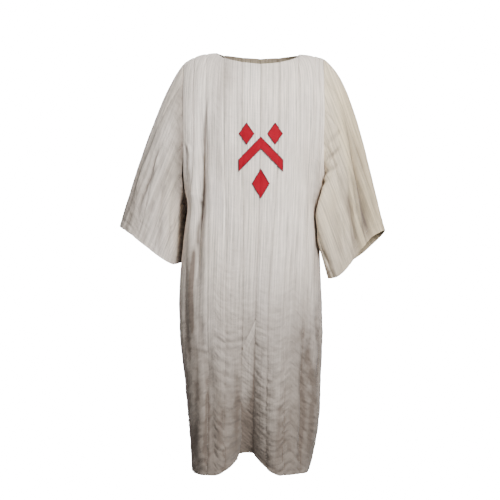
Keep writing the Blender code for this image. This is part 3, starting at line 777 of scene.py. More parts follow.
def makeSoilGroup():
    # patchy grime and broad faint stains over the amount given, an amount that holds painted shade too
    inputs = {"Place": "NodeSocketVector", "Amount": "NodeSocketFloat"}
    group, into, out = newGroup("soilingAndShade", inputs, ["Soil", "Blotch"])
    place, amount = into.outputs["Place"], into.outputs["Amount"]
    patches = noiseOf(group, place, 9.0, 4.0, 0.6)
    fine = noiseOf(group, place, 55.0, 3.0, 0.6)
    soilAndShade = times(group, amount, plus(group, times(group, patches, 0.3), 0.85))
    soilAndShade = plus(group, soilAndShade, times(group, about(group, fine, 0.5, 0.35), amount), clamp=True)
    group.links.new(soilAndShade, out.inputs["Soil"])
    group.links.new(patches, out.inputs["Blotch"])
    return group


linenWeave = makeLinenGroup()
soilingAndShade = makeSoilGroup()
linenLook = {
    "clean": (0.820, 0.740, 0.676),
    "yellowed": (0.680, 0.560, 0.370),
    # grime is the dark colour for both grime and painted shade; crease is how far the painted shade of
    # creases and folds darkens
    "grimeAndShade": (0.165, 0.132, 0.108),
    "soilAndShadeShare": 0.90,
    "crease": 0.80,
    # line is the strength of the rows' painted highlights and shades
    "line": 0.70,
    "relief": 0.00045,
    "rumple": (2.5, 22.0),  # wrinkles too small for the mesh, at the chest and added at the hem
    # lining: the inside faces painted dark as painted shade
    "lining": (0.30, 0.245, 0.180),
    "blotch": 0.30,
    "surface": {"Roughness": 0.86, "Sheen Weight": 0.10, "Sheen Roughness": 0.5, "Specular IOR Level": 0.2},
}


def makeLinen(name, base, soilAndShadeShare, crease):
    material, tree, shader = newMaterial(name)
    uv = addNode(tree, "ShaderNodeUVMap", uv_map="cloth")
    place = addNode(tree, "ShaderNodeTexCoord")
    wearAndShade = addNode(tree, "ShaderNodeAttribute", attribute_name="wearAndShade")
    split = addNode(tree, "ShaderNodeSeparateColor")
    tree.links.new(wearAndShade.outputs["Color"], split.inputs[0])
    weave = addNode(tree, "ShaderNodeGroup", node_tree=linenWeave)
    tree.links.new(uv.outputs["UV"], weave.inputs["Cloth"])
    soilAndShade = addNode(tree, "ShaderNodeGroup", node_tree=soilingAndShade)
    tree.links.new(place.outputs["Object"], soilAndShade.inputs["Place"])
    tree.links.new(split.outputs[0], soilAndShade.inputs["Amount"])
    colour = mixColour(tree, "MIX", split.outputs[2], base, linenLook["yellowed"])
    worn = plus(tree, times(tree, split.outputs[0], -0.85), 1.35)  # the threads show less through grime
    tone = times(tree, weave.outputs["Tone"], worn)
    tone = plus(tree, tone, about(tree, soilAndShade.outputs["Blotch"], 0.5, linenLook["blotch"]))
    # the rows' painted highlights and shades
    tone = plus(tree, tone, about(tree, wearAndShade.outputs["Alpha"], 0.5, linenLook["line"]))
    colour = mixColour(tree, "MULTIPLY", 1.0, colour, greyOf(tree, plus(tree, tone, 1.0)))
    # darkened to the grime colour by the soil, which holds painted shade too, and by the painted shade of
    # creases and folds
    dirtAndShade = times(tree, soilAndShade.outputs["Soil"], soilAndShadeShare)
    deep = times(tree, split.outputs[1], crease)
    colour = mixColour(tree, "MIX", plus(tree, dirtAndShade, deep, clamp=True), colour, linenLook["grimeAndShade"])
    tree.links.new(colour, shader.inputs["Base Color"])
    setSurface(shader, linenLook["surface"])
    across = addNode(tree, "ShaderNodeSeparateXYZ")
    tree.links.new(uv.outputs["UV"], across.inputs[0])
    sideways = sums(tree, "ABSOLUTE", across.outputs[0])
    dragged = addNode(tree, "ShaderNodeCombineXYZ")
    tree.links.new(times(tree, across.outputs[0], 0.6), dragged.inputs[0])
    skew = times(tree, sideways, -quilt["puckerLean"])
    tree.links.new(plus(tree, across.outputs[1], skew), dragged.inputs[1])
    rumple = noiseOf(tree, dragged.outputs[0], 48.0, 1.6, 0.5)
    most, more = linenLook["rumple"]
    amount = plus(tree, times(tree, split.outputs[0], more), most)
    rumple = times(tree, rumple, amount)
    bump = addNode(tree, "ShaderNodeBump", Strength=0.8, Distance=linenLook["relief"])
    tree.links.new(plus(tree, weave.outputs["Relief"], rumple), bump.inputs["Height"])
    tree.links.new(bump.outputs[0], shader.inputs["Normal"])
    return material


def makeFibre(name, dark, light, scale, relief, rough, sheen=0.0):
    # thread, cord or felt: two tones, fine fibres and patches that have faded
    material, tree, shader = newMaterial(name)
    place = addNode(tree, "ShaderNodeTexCoord").outputs["Object"]
    fibres = noiseOf(tree, place, scale, 3.0, 0.65)
    faded = noiseOf(tree, place, 40.0, 3.0)
    colour = mixColour(tree, "MIX", faded, dark, light)
    tone = plus(tree, times(tree, fibres, 0.5), 0.74)
    tree.links.new(mixColour(tree, "MULTIPLY", 1.0, colour, greyOf(tree, tone)), shader.inputs["Base Color"])
    setSurface(shader, {"Roughness": rough, "Sheen Weight": sheen, "Specular IOR Level": 0.2})
    bump = addNode(tree, "ShaderNodeBump", Strength=0.6, Distance=relief)
    tree.links.new(fibres, bump.inputs["Height"])
    tree.links.new(bump.outputs[0], shader.inputs["Normal"])
    return material


linenOuter = makeLinen("quiltedLinen", linenLook["clean"], linenLook["soilAndShadeShare"], linenLook["crease"])
# the inside faces: a dark colour that is painted shade
linenInnerShaded = makeLinen("linenInsidePaintedShade", linenLook["lining"], 0.5, 0.2)
linenFinishes = (linenOuter, linenInnerShaded)
linenThread = makeFibre("linenThread", (0.50, 0.46, 0.41), (0.66, 0.62, 0.56), 900.0, 0.0003, 0.8)
darkCord = makeFibre("darkCord", (0.055, 0.030, 0.035), (0.11, 0.065, 0.07), 900.0, 0.0003, 0.75)
scarletFelt = makeFibre("scarletFelt", (0.27, 0.001, 0.010), (0.38, 0.004, 0.020), 700.0, 0.0006, 0.92, 0.03)
print("finishes made")


# Fronts and back

stitchRows = []  # points and normals along each row of stitches


def followRows(outer, q, normal, rows):
    for row in rows:
        j = int(np.argmin(np.abs(q - row)))
        stitchRows.append((outer[:, j], normal[:, j]))


def makeFront(name, seed):
    q = columnPlaces(bodyMesh["channels"])
    points, u, v, c = bodyPanel(name, "front", q, bodyMesh["upperRows"], bodyMesh["lowerRows"])
    outer, wearAndShade = finishPanel(points, q, u, v, c, "front", seed, rowHighlightsAndShades[name])
    piece = makeCloth("front" + name.title(), outer, np.stack([sides[name]["sign"] * u, v], axis=-1), wearAndShade)
    makeWall(piece, outwardFromAxis, quilt["wall"], linenFinishes, "front_" + name)
    normal = gridNormals(outer, outwardOf(outer))
    followRows(outer, q, normal, range(1, bodyMesh["channels"]))
    return piece, outer


def makeBack(seed):
    q = columnPlaces(bodyMesh["channels"])
    right, left = [bodyPanel(name, "back", q, bodyMesh["backUpperRows"], bodyMesh["backLowerRows"])
                   for name in ("right", "left")]
    # the right half is turned round to run into the left one, its u counted the other way
    points, u, v, c = [np.concatenate([a[:, :0:-1] * (-1 if k == 1 else 1), b], axis=1)
                       for k, (a, b) in enumerate(zip(right, left))]
    q = np.concatenate([-q[:0:-1], q])
    outer, wearAndShade = finishPanel(points, q, u, v, c, "back", seed, rowHighlightsAndShades["left"])
    piece = makeCloth("backPanel", outer, np.stack([u, v], axis=-1), wearAndShade)
    makeWall(piece, outwardFromAxis, quilt["wall"], linenFinishes, "back")
    normal = gridNormals(outer, outwardOf(outer))
    followRows(outer, q, normal, range(1 - bodyMesh["channels"], bodyMesh["channels"]))
    return piece


frontRight, rightOuter = makeFront("right", 11)
frontLeft, leftOuter = makeFront("left", 37)
backPanel = makeBack(71)
print("fronts and back made")


# The gore between the two fronts

goreMesh = {
    "columns": 18,
    "rows": 150,
    "below": 32.0,  # how far below the tip of the cut it starts to show
    "inset": -3.0,  # its edges are tucked behind the fronts
    "wall": 1.4,
    "stand": 1.4,
    "puff": 1.1,
    "edgeDip": 1.6,
    "edgeSoft": 0.06,
}
# grime on the gore, darker down it and at its foot: partly painted shade where it lies back between the
# fronts
goreGrimeAndShade = {"from": 520, "over": 640, "footShare": 0.3, "footFrom": 1000, "footOver": 180,
             "share": 0.14, "below": 800}
goreShade = {"edges": 0.5, "leftSide": 0.35, "foot": 0.45, "footFrom": 980, "footOver": 200}


def makeGore():
    top = cut["goreTop"] + goreMesh["below"]
    r = 1 + np.linspace((top - cut["underarm"]) / (cut["length"] - cut["underarm"]), 1, goreMesh["rows"] + 1)
    edges = []
    for name in ("right", "left"):
        edge = bodyDrape(name, "front", np.zeros_like(r), r)
        beside = bodyDrape(name, "front", np.full_like(r, 0.02), r)
        edges.append((edge + unit(edge - beside) * goreMesh["inset"],
                      unit((edge - beside) * np.array([1.0, 1.0, 0.0]))))
    (start, startWay), (end, endWay) = edges
    down = np.linspace(0, 1, goreMesh["rows"] + 1)[:, None, None]
    handle = hollow["gore"] * (hollow["goreTopFold"] + (1 - hollow["goreTopFold"]) * down)
    t = np.linspace(0, 1, goreMesh["columns"] + 1)[None, :, None]
    a, b = start[:, None], end[:, None]
    turnA, turnB = a + startWay[:, None] * handle, b + endWay[:, None] * handle
    points = a * (1 - t) ** 3 + turnA * 3 * t * (1 - t) ** 2 + turnB * 3 * t**2 * (1 - t) + b * t**3
    normal = gridNormals(points, np.broadcast_to(np.array([0.0, -1.0, 0.0]), points.shape))
    u, v = placeOnCloth(points)
    v = v + top
    ripple = softNoise(u / 18, v / 17 + u / 60, 90) * np.sin(np.pi * t[..., 0])
    nearEdge = np.minimum(t, 1 - t)[..., 0]
    dip = goreMesh["edgeDip"] * np.exp(-nearEdge / goreMesh["edgeSoft"])
    outer = points + normal * (goreMesh["stand"] - dip + goreMesh["puff"] * ripple)[..., None]
    drop = -points[..., 2]
    cloud = cloudNoise(u / 60, v / 120, 130)
    # soil is grime and painted shade, darker downwards; shade is painted shade by the edges, on the left side
    # and at the foot
    soilAndShade = comesIn(drop, goreGrimeAndShade["from"], goreGrimeAndShade["over"]) * (0.95 + 0.3 * cloud)
    soilAndShade = soilAndShade + goreGrimeAndShade["footShare"] * comesIn(drop, goreGrimeAndShade["footFrom"], goreGrimeAndShade["footOver"])
    soilAndShade = soilAndShade + goreGrimeAndShade["share"] * comesIn(drop, goreGrimeAndShade["below"], 80)
    shade = goreShade["edges"] * np.exp(-nearEdge / 0.10)
    shade = shade + goreShade["leftSide"] * bell((1 - t[..., 0]) / 0.3)
    shade = shade + goreShade["foot"] * comesIn(drop, goreShade["footFrom"], goreShade["footOver"])
    wearAndShade = packWearAndShade(soilAndShade, shade, 0.12 + 0 * soilAndShade, 0.5 + 0 * soilAndShade)
    piece = makeCloth("frontGore", outer, np.stack([u, v], axis=-1), wearAndShade)
    makeWall(piece, forwards, goreMesh["wall"], linenFinishes, "front_gore")
    return piece


frontGore = makeGore()
print("gore made")


# Sleeves

# where the cuff's outer and inner edges end, its depth and lean, and how the cloth leaves the armhole
sleeveCut = {
    "right": {"outer": (411, 505), "inner": (255, 620), "depth": 62, "forward": 12, "tilt": 7,
              "start": (0.36, 0.42), "foot": 0.60},
    "left": {"outer": (380, 518), "inner": (214, 658), "depth": 62, "forward": 30, "tilt": 27,
             "start": (0.51, 0.30), "foot": -0.16},
}
sleeveShape = {"lean": 0.30, "face": 0.62, "swell": 0.16, "underarmStep": 7.0, "underarmFrom": 0.55,
               "channels": 10, "rows": 128, "cuffRow": 22.0, "cuffDip": 0.9, "cuffWidth": 2.2,
               "backPlace": 900.0}
# Folds by the angle round the cuff: 0 is the outer edge, 90 the front, 180 the inner edge; widths in degrees
sleeveFolds = {
    "right": {
        "angle0": [112, 58, 146, 286, 316],
        "way0": [0.05, 0.25, 0.30, 0.10, 0.20],
        "angle1": [96, 60, 140, 280, 322],
        "way1": [1.2, 1.2, 1.2, 1.2, 1.2],
        "width": [17, 15, 14, 18, 16],
        "depth": [12, 10, 0, 12, 9],
    },
    "left": {
        "angle0": [44, 84, 168, 240, 300],
        "way0": [0.15, 0.30, 0.35, 0.10, 0.20],
        "angle1": [62, 98, 142, 254, 296],
        "way1": [1.1, 1.2, 0.95, 1.2, 1.2],
        "width": [15, 12, 12, 18, 16],
        "depth": [31, 12, 6, 12, 10],
    },
}
sleeveCreases = {
    "right": {
        "angle0": [150, 132, 112, 94, 72, 48, 160, 30, 210, 260, 320, 84, 110],
        "way0": [0.05, 0.10, 0.22, 0.12, 0.20, 0.35, 0.05, 0.30, 0.15, 0.25, 0.20, 0.55, 0.6],
        "angle1": [130, 100, 76, 62, 48, 38, 134, 26, 226, 254, 310, 80, 120],
        "way1": [0.42, 0.62, 0.85, 0.70, 0.95, 1.1, 0.9, 1.0, 0.9, 1.1, 0.9, 1.1, 1.1],
        "width": [5, 5, 5, 5, 5, 5, 5, 6, 6, 6, 6, 4, 4],
        "depth": [1.5, 3, 4.5, 4, 4.5, 4, 2, 4, 5, 4, 5, 3, 3],
    },
    "left": {
        "angle0": [116, 134, 150, 160, 112, 152, 128, 98, 74, 36, 210, 262, 320, 60, 122],
        "way0": [0.0, 0.0, 0.0, 0.0, 0.24, 0.34, 0.40, 0.30, 0.40, 0.35, 0.15, 0.25, 0.20, 0.62, 0.6],
        "angle1": [64, 82, 100, 120, 92, 138, 112, 84, 68, 30, 226, 254, 310, 66, 128],
        "way1": [0.25, 0.27, 0.30, 0.30, 0.80, 0.95, 1.0, 1.1, 1.1, 1.0, 0.9, 1.1, 0.9, 1.1, 1.1],
        "width": [4, 4, 4, 4, 5, 6, 5, 5, 5, 5, 6, 6, 6, 4, 4],
        "depth": [3.5, 4, 4, 2.5, 4, 4, 3.5, 4, 5, 4, 5, 4, 5, 4, 3],
    },
}

# Painted shade lines at the bottom of the sharpest folds; depth is how dark
sleeveShadeLines = {
    "right": {
        "angle0": [112, 60, 132],
        "way0": [0.05, 0.30, 0.12],
        "angle1": [97, 60, 92],
        "way1": [1.1, 1.2, 0.66],
        "width": [2.4, 2.2, 2.0],
        "depth": [0.22, 0.20, 0.20],
    },
    "left": {
        "angle0": [44, 84, 56, 134],
        "way0": [0.18, 0.25, 0.50, 0.0],
        "angle1": [62, 98, 76, 82],
        "way1": [1.1, 1.15, 1.15, 0.27],
        "width": [2.6, 2.4, 2.0, 2.0],
        "depth": [0.60, 0.34, 0.30, 0.22],
    },
}

# Where a sleeve's inner side hangs against the body: middle angle, half width, and shift to the body
# and forward
sleeveLaps = {
    "right": {"angle": 224, "wide": 29, "start": 0.02, "rise": 0.25, "end": 1.9,
              "in": 52, "cuff": 57, "forward": -12},
    "left": {"angle": 143, "wide": 21, "start": 0.0, "rise": 0.44, "end": 1.04,
             "in": 35, "cuff": 35, "forward": 24},
}
# and how much lower the cuff hangs on the inner side of the front, and higher behind it
cuffSag = {
    "right": {"front": 4, "back": 4, "wide": 46},
    "left": {"front": 34, "back": 14, "wide": 38},
}
# shade at the bottom of the big folds, and how yellow the cloth is
sleeveShade = {"right": 0.16, "left": 0.42}
sleeveYellow = {"least": 0.22, "mottle": 0.2, "left": 0.48, "outer": 0.62}
# Grime: all over, more to the cuff; then painted shade on the right sleeve, a little all over and in four
# places by angle and way
sleeveGrimeAndShade = {
    "least": 0.08,
    "cuff": 0.22,
    "right": 0.05,
    "upperFront": {"share": 0.22, "angle": 128, "half": 60, "soft": 50, "to": 0.62, "over": 0.5},
    "seam": {"share": 0.62, "reach": 0.15, "from": 20, "rise": 30, "to": 178, "fall": 12},
    "outer": {"share": 0.34, "start": 0.5, "over": 0.4, "to": 96, "fall": 70},
    "behind": {"share": 0.75, "start": 0.15, "over": 0.3, "from": 172, "rise": 26, "to": 262, "fall": 30},
}


def lapShift(name, degrees, way):
    lap, sag = sleeveLaps[name], cuffSag[name]
    share = bell((degrees - lap["angle"]) / lap["wide"])
    share = share * comesIn(way, lap["start"], lap["rise"]) * goesOut(way, lap["end"], 0.45)
    inward = share * (lap["in"] + (lap["cuff"] - lap["in"]) * comesIn(way, 0.5, 0.5))
    shift = np.stack([-sides[name]["sign"] * inward, -lap["forward"] * share, 0 * share], axis=-1)
    front = bell((degrees - 122) / sag["wide"]) * sag["front"]
    back = bell((degrees - 230) / sag["wide"]) * sag["back"]
    return shift + ((back - front) * ease(way) ** 2)[..., None] * np.array([0.0, 0.0, 1.0])


def armholeLoop(name, turn):
    # down the front edge from the shoulder, and up the back one
    down = np.clip(np.where(turn <= math.pi, turn / math.pi, 2 - turn / math.pi), 0, 1)
    front = bodyDrape(name, "front", np.ones_like(down), down)
    back = bodyDrape(name, "back", np.ones_like(down), down)
    return np.where((turn <= math.pi)[:, None], front, back)


def sleeveDrape(name, turns, ways):
    # the drape of a sleeve, round it by turns and down it by ways, before its folds
    side, shape = sides[name], sleeveCut[name]
    sign = side["sign"]
    loop = armholeLoop(name, turns)
    deep = (-loop[:, 2] - side["tipDrop"]) / (cut["underarm"] - side["tipDrop"])
    low = ease((deep - sleeveShape["underarmFrom"]) / (1 - sleeveShape["underarmFrom"]))[:, None]
    away = unit(np.array([sign, 0, -0.4]))
    loop = loop + np.array([sign, 0.0, 0.0]) * sleeveShape["underarmStep"] * low + away * 0.5 * (1 - low)
    turn, way = np.meshgrid(turns, ways)
    start = loop[None]
    cos, sin = np.cos(turn)[..., None], np.sin(turn)[..., None]
    outerEnd = np.array([sign * shape["outer"][0], -shape["forward"], -shape["outer"][1]])
    innerEnd = np.array([sign * shape["inner"][0], -shape["forward"], -shape["inner"][1]])
    end = (outerEnd + innerEnd) / 2 + (outerEnd - innerEnd) / 2 * cos
    end = end + np.array([0.0, -shape["depth"], shape["tilt"]]) * sin
    chord = np.linalg.norm(end - start, axis=-1, keepdims=True)
    topWay = np.array([sign * shape["start"][0], 0, -shape["start"][1]])
    footWay = np.array([sign * shape["foot"], 0, -1.0])
    along, swell = np.full_like(turn, sleeveShape["face"]), sleeveShape["swell"] * np.sign(sin[..., 0])
    faceWay = np.stack([sign * along, -swell, -along], axis=-1)
    leave = topWay * np.clip(cos, 0, 1) ** 2 + footWay * np.clip(-cos, 0, 1) ** 2 + faceWay * sin**2
    arrive = unit(np.array([sign * sleeveShape["lean"], 0, -1.0]))
    # a smooth curve from the armhole to the cuff
    w = way[..., None]
    points = (start * (1 + 2 * w) * (1 - w) ** 2 + leave * chord * w * (1 - w) ** 2
              + end * w**2 * (3 - 2 * w) - arrive * chord * w**2 * (1 - w))
    return points, turn, way


def pressRound(folds, degrees, way, start, wander, ridge):
    # how deep a sleeve's folds press it in, each from one angle and way to another
    total = np.zeros(degrees.shape)
    for number, fold in enumerate(rowsOf(folds)):
        share = (way - fold["way0"]) / (fold["way1"] - fold["way0"])
        middle = fold["angle0"] + (fold["angle1"] - fold["angle0"]) * share
        drift = wander * softNoise(share * 4 + 5 * number, 0 * share, 3 + number)
        off = (degrees - middle + drift) / fold["width"]
        trough = bell(off) - ridge * np.exp(-((off - 1.9) ** 2) / 1.6)
        total += fold["depth"] * ease(share / start) * goesOut(share, 1, 0.3) * trough
    return total


def rightSleevePaintedShade(degrees, way):
    # painted shade on the right sleeve: at the upper front, beside the armhole seam, low on the outer side
    # and behind
    front, seam, outer, behind = [sleeveGrimeAndShade[part] for part in ("upperFront", "seam", "outer", "behind")]
    high = goesOut(way, front["to"], front["over"])
    soilAndShade = front["share"] * ease((front["half"] - np.abs(degrees - front["angle"])) / front["soft"]) * high
    around = comesIn(degrees, seam["from"], seam["rise"]) * goesOut(degrees, seam["to"], seam["fall"])
    soilAndShade = soilAndShade + seam["share"] * bell(way / seam["reach"]) * around
    low = comesIn(way, outer["start"], outer["over"])
    soilAndShade = soilAndShade + outer["share"] * low * goesOut(degrees, outer["to"], outer["fall"])
    around = comesIn(degrees, behind["from"], behind["rise"]) * goesOut(degrees, behind["to"], behind["fall"])
    return soilAndShade + behind["share"] * around * comesIn(way, behind["start"], behind["over"])


def sleeveWearAndShade(name, degrees, way, u, v, depth, seed):
    # grime, painted shade and yellowing; depth is that of the creases and dips, in shares of the deepest, and
    # is painted as shade in them; the folds' shade comes after it
    cloud = cloudNoise(u / 80, v / 100, seed + 40)
    soilAndShade = sleeveGrimeAndShade["least"] + sleeveGrimeAndShade["cuff"] * ease(way) * (0.8 + 0.3 * cloud)
    trough = 0.62 * np.clip(depth, 0, 1) + pressRound(sleeveShadeLines[name], degrees, way, 0.3, 1.5, 0.0)
    yellow = sleeveYellow["least"] + sleeveYellow["mottle"] * cloudNoise(u / 120, v / 160, seed + 60)
    if name == "right":
        # the right sleeve is painted darker, as painted shade on the side away from the light
        soilAndShade = soilAndShade + sleeveGrimeAndShade["right"] + rightSleevePaintedShade(degrees, way)
    else:
        outer = ease((64 - np.abs(degrees - 42)) / 56) * ease(way / 0.5)
        yellow = yellow + sleeveYellow["outer"] * outer + sleeveYellow["left"]
    return soilAndShade, trough, yellow


def makeSleeve(name, seed):
    q = columnPlaces(sleeveShape["channels"])
    turns = q / sleeveShape["channels"] * 2 * math.pi
    points, turn, way = sleeveDrape(name, turns, np.linspace(0, 1, sleeveShape["rows"] + 1))
    degrees = np.degrees(turn)
    points = points + lapShift(name, degrees, way)
    middle = points[:, :-1].mean(axis=1, keepdims=True)
    normal = gridNormals(points, points - middle, around=True)
    press = pressRound(sleeveFolds[name], degrees, way, 0.45, 0.0, 0.0)
    points = points - normal * (press * ease(way / 0.15))[..., None]
    middle = points[:, :-1].mean(axis=1, keepdims=True)
    normal = gridNormals(points, points - middle, around=True)
    u, v = placeOnCloth(points)
    u = u * sleeveShape["channels"] * quilt["channel"] / u[len(u) // 2, -1]
    # the weave runs along the arm, with the back of the sleeve beside its front
    along = unit(points[-1, 0] - points[0, 0])
    inward = np.array([along[2], 0.0, -along[0]]) * sides[name]["sign"]
    width = (points - points[0, 0]) @ inward
    across = np.where(turn <= math.pi, width, sleeveShape["backPlace"] - width)
    uv = np.stack([across, (points - points[0, 0]) @ along], axis=-1)
    creases = 1.35 * pressRound(sleeveCreases[name], degrees, way, 0.42, 2.5, 0.5)
    height = quiltHeight(q[None] + 0 * u, u, v, 0.25 + 0 * u, seed)
    cuff = np.linalg.norm(points[-1] - points, axis=-1)
    row = (cuff - sleeveShape["cuffRow"]) / sleeveShape["cuffWidth"]
    height = height - sleeveShape["cuffDip"] * bell(row)
    for mask in (height, creases):
        mask[:, -1] = mask[:, 0]
    stand = np.clip(height, 0.4, quilt["most"]) - np.clip(creases, -3, 9) * ease(way / 0.06)
    outer = points + normal * stand[..., None]
    outer[:, -1] = outer[:, 0]
    depth = (creases + np.maximum(0, quilt["full"] - height) * 0.8) / 9
    soilAndShade, trough, yellow = sleeveWearAndShade(name, degrees, way, u, v, depth, seed)
    trough = trough + sleeveShade[name] * np.clip(press / 22, 0, 1)
    wearAndShade = np.stack([np.clip(soilAndShade, 0, 1), trough, np.clip(yellow, 0, 1), 0.5 + 0 * soilAndShade], axis=-1)
    piece = makeCloth("sleeve" + name.title(), outer, uv, wearAndShade, around=True)
    root = Vector(middle[len(middle) // 2, 0] * mm)
    arm = Vector((middle[-1, 0] - middle[0, 0]) * mm).normalized()

    def outwardAt(point):
        return (point - root) - arm * (point - root).dot(arm)

    makeWall(piece, outwardAt, quilt["wall"], linenFinishes, "sleeve_" + name)
    followRows(outer, q, normal, range(sleeveShape["channels"]))
    nearCuff = int(np.argmin(np.abs(cuff.mean(axis=1) - sleeveShape["cuffRow"])))
    stitchRows.append((outer[nearCuff], normal[nearCuff]))
    return piece


sleeveRight = makeSleeve("right", 101)
sleeveLeft = makeSleeve("left", 151)
print("sleeves made")


# Rows of stitches

# from one stitch to the next, its length, its thickness and how deep its ends lie
stitchWork = {"pitch": 6.2, "long": 4.4, "radius": 0.42, "sink": 0.25}


def makeStitches(rows, name):
    # each stitch is a short spindle that lies along its row
    verts, faces, count = [], [], 0
    for path, heading in rows:
        along = np.concatenate([[0], np.cumsum(np.linalg.norm(np.diff(path, axis=0), axis=1))])
        starts = np.arange(stitchWork["pitch"], along[-1] - stitchWork["pitch"], stitchWork["pitch"])

        def along3(values, place):
            return np.stack([np.interp(place, along, values[:, k]) for k in range(3)], axis=-1)

        a, b = along3(path, starts), along3(path, starts + stitchWork["long"])
        up = unit(along3(heading, starts))
        side = unit(np.cross(unit(b - a), up))
        radius, sink = stitchWork["radius"], stitchWork["sink"]
        middle = (a + b) / 2 + up * (radius - sink)
        block = np.stack([a - up * sink, middle + up * radius, middle + side * radius,
                          middle - up * radius, middle - side * radius, b - up * sink], axis=1)
        verts.append(block.reshape(-1, 3))
        first = count + 6 * np.arange(len(starts))[:, None]
        count += 6 * len(starts)
        for k in range(4):
            faces.append(first + np.array([[0, 1 + (k + 1) % 4, 1 + k]]))
            faces.append(first + np.array([[5, 1 + k, 1 + (k + 1) % 4]]))
    mesh = bpy.data.meshes.new(name)
    mesh.from_pydata((np.concatenate(verts) * mm).tolist(), [], np.concatenate(faces).tolist())
    piece = bpy.data.objects.new(name, mesh)
    bpy.context.scene.collection.objects.link(piece)
    editAll(piece, lambda: bpy.ops.mesh.normals_make_consistent(inside=False))
    mesh.materials.append(linenThread)
    mesh.shade_smooth()
    addToFrame(piece)
    return piece


quiltStitches = makeStitches(stitchRows, "quiltStitches")
print("stitches made:", len(quiltStitches.data.polygons) // 8)


# The red device on the chest

# middle and top of the device, how far the felt stands off, its thickness above and below that, and
# the cord's radius
device = {
    "x": 9.0, "drop": 193.0, "lift": 0.5, "felt": 1.3, "under": 0.9, "cord": 1.15,
    "lozenges": {
        "name": ["lozengeRight", "lozengeLeft", "lozengeFoot"],
        "node": ["lozenge_right", "lozenge_left", "lozenge_foot"],
        "x": [-41, 41, 0], "drop": [31, 31, 175], "width": [44, 44, 50], "height": [62, 62, 86],
    },
    "chevron": {"halfWidth": 64.0, "peak": 40.0, "fall": 66.0, "thick": 34.0},
}


def gridFaces(rows, columns, base):
    return [[base + j * columns + i, base + j * columns + i + 1, base + (j + 1) * columns + i + 1,
             base + (j + 1) * columns + i] for j in range(rows - 1) for i in range(columns - 1)]


chestRows = 200
chestPoints = np.concatenate([rightOuter[:chestRows].reshape(-1, 3), leftOuter[:chestRows].reshape(-1, 3)])
chestTree = BVHTree.FromPolygons([Vector(p) for p in chestPoints],
                                 gridFaces(chestRows, rightOuter.shape[1], 0)
                                 + gridFaces(chestRows, leftOuter.shape[1], chestRows * rightOuter.shape[1]))


def onChest(x, drop):
    # the cloth's place and facing behind a point of the chest
    x, drop = device["x"] + x, device["drop"] + drop
    hit, normal, _, _ = chestTree.ray_cast(Vector((x, -400, -drop)), Vector((0, 1, 0)), 500)
    if hit is None:  # over the seam's narrow gap
        hit, normal, _, _ = chestTree.find_nearest(Vector((x, -130, -drop)))
    return np.array(hit), np.array(-normal if normal.y > 0 else normal)


def smoothOver(points):
    # the felt bridges the finest creases
    for _ in range(3):
        beside = (points[:-2, 1:-1] + points[2:, 1:-1] + points[1:-1, :-2] + points[1:-1, 2:]) / 4
        points[1:-1, 1:-1, 1] = (points[1:-1, 1:-1, 1] + beside[..., 1]) / 2
    return points


def makeFeltShape(name, node, xs, drops):
    points = smoothOver(np.array([[onChest(x, drop)[0] for x, drop in zip(*row)] for row in zip(xs, drops)]))
    normal = gridNormals(points, np.broadcast_to(np.array([0.0, -1.0, 0.0]), points.shape))
    outer = points + normal * (device["lift"] + device["felt"])
    piece = makeCloth(name, outer, np.stack([xs, drops], axis=-1), np.zeros((*xs.shape, 4)))
    makeWall(piece, forwards, device["felt"] + device["under"], (scarletFelt, scarletFelt), node)


def makeCord(name, corners):
    # a dark cord couched round the edge of a felt shape
    outline = []
    for a, b in zip(corners, corners[1:] + corners[:1]):
        across, down = b[0] - a[0], b[1] - a[1]
        steps = max(2, int(math.hypot(across, down) / 4))
        outline += [(a[0] + across * k / steps, a[1] + down * k / steps) for k in range(steps)]
    deselectAll()
    bpy.ops.curve.primitive_nurbs_path_add()
    path = bpy.context.object
    path.name = name
    path.data.splines.clear()
    spline = path.data.splines.new("POLY")
    spline.points.add(len(outline) - 1)
    spline.use_cyclic_u = True
    for point, (x, drop) in zip(spline.points, outline):
        place, normal = onChest(x, drop)
        point.co = (*((place + normal * (device["cord"] + 0.75)) * mm), 1.0)
    path.data.bevel_depth = device["cord"] * mm
    path.data.bevel_resolution = 2
    makeActive(path)
    bpy.ops.object.convert(target="MESH")
    piece = bpy.context.object
    piece.data.materials.clear()
    piece.data.materials.append(darkCord)
    piece.data.shade_smooth()
    addToFrame(piece)


def makeDevice():
    for shape in rowsOf(device["lozenges"]):
        s, t = np.meshgrid(np.linspace(-1, 1, 19), np.linspace(-1, 1, 19))
        w, h, x, drop = shape["width"] / 2, shape["height"] / 2, shape["x"], shape["drop"]
        makeFeltShape(shape["name"], shape["node"], x + (s - t) * w / 2, drop + (s + t) * h / 2)
        makeCord(shape["name"] + "Cord", [(x, drop - h), (x + w, drop), (x, drop + h), (x - w, drop)])
    bend = device["chevron"]
    s, t = np.meshgrid(np.linspace(-1, 1, 61), np.linspace(0, 1, 13))
    makeFeltShape("chevron", "chevron", s * bend["halfWidth"],
                  bend["peak"] + np.abs(s) * bend["fall"] + t * bend["thick"])
    w, top, low = bend["halfWidth"], bend["peak"], bend["peak"] + bend["thick"]
    makeCord("chevronCord", [(-w, top + bend["fall"]), (0, top), (w, top + bend["fall"]),
                             (w, low + bend["fall"]), (0, low), (-w, low + bend["fall"])])


makeDevice()
print("device made")


# Floor, light and camera

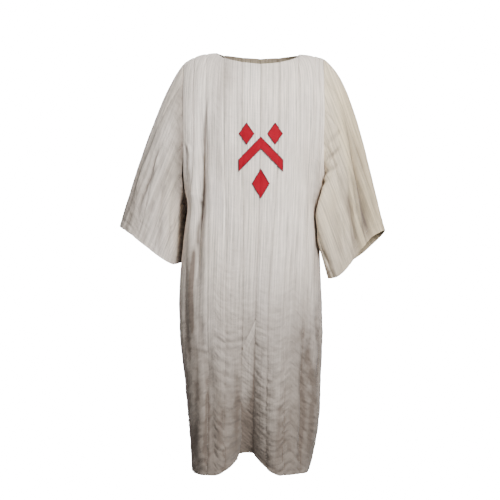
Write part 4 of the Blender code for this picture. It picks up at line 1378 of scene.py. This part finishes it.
studio = {
    "floorDrop": 1.62,
    "backdropGlow": 18.0,
    "floorGlow": 18.0,
    "world": 0.20,
    "lights": {
        "key": {"place": (1.5, -3.1, 1.25), "size": 1.3, "power": 262, "aim": (0, 0, -0.25)},
        "fill": {"place": (-2.6, -2.6, 0.9), "size": 2.0, "power": 34, "aim": (0, 0, -0.35)},
        "back": {"place": (-1.4, 3.2, 1.3), "size": 2.4, "power": 190, "aim": (0, 0, -0.4)},
        "top": {"place": (0.2, -0.6, 2.4), "size": 1.6, "power": 22, "aim": (0, 0, -0.3)},
    },
    "camera": {"place": (-0.022, -3.62, -0.12), "aim": (-0.022, -0.12, -0.563), "angle": math.radians(23.4)},
}


def aimAt(thing, place, aim):
    thing.location = place
    thing.rotation_euler = (Vector(aim) - Vector(place)).to_track_quat("-Z", "Y").to_euler()
    bpy.context.scene.collection.objects.link(thing)


def makeStage():
    # a white sweep: it shows white to the camera and throws no light on the cloth
    deselectAll()
    place = (0, 0, -studio["floorDrop"])
    bpy.ops.mesh.primitive_circle_add(vertices=96, radius=9, fill_type="NGON", location=place)
    floor = bpy.context.object
    deselectAll()
    bpy.ops.mesh.primitive_uv_sphere_add(segments=48, ring_count=24, radius=8.9, location=(0, 0, 0))
    dome = bpy.context.object
    parts = ((floor, "studioFloor", 0.9, "floorGlow"), (dome, "studioDome", 0.0, "backdropGlow"))
    for piece, name, base, glow in parts:
        piece.name = name
        material, _, shader = newMaterial("pale" + name)
        setSurface(shader, {"Base Color": (base, base, base, 1), "Roughness": 0.9,
                            "Emission Color": (1, 1, 1, 1), "Emission Strength": studio[glow]})
        piece.data.materials.append(material)
        piece.visible_diffuse = False
        piece.visible_glossy = False
    dome.visible_shadow = False


makeStage()
for name, values in studio["lights"].items():
    light = bpy.data.lights.new(name, "AREA")
    light.shape = "DISK"
    light.size = values["size"]
    light.energy = values["power"]
    aimAt(bpy.data.objects.new(name + "Light", light), values["place"], values["aim"])
world = bpy.data.worlds.new("studio")
world.use_nodes = True
world.node_tree.nodes["Background"].inputs["Color"].default_value = (1, 1, 1, 1)
world.node_tree.nodes["Background"].inputs["Strength"].default_value = studio["world"]
bpy.context.scene.world = world
camera = bpy.data.objects.new("camera", bpy.data.cameras.new("camera"))
aimAt(camera, studio["camera"]["place"], studio["camera"]["aim"])
camera.data.angle = studio["camera"]["angle"]
bpy.context.scene.camera = camera
print("stage, lights and camera placed")
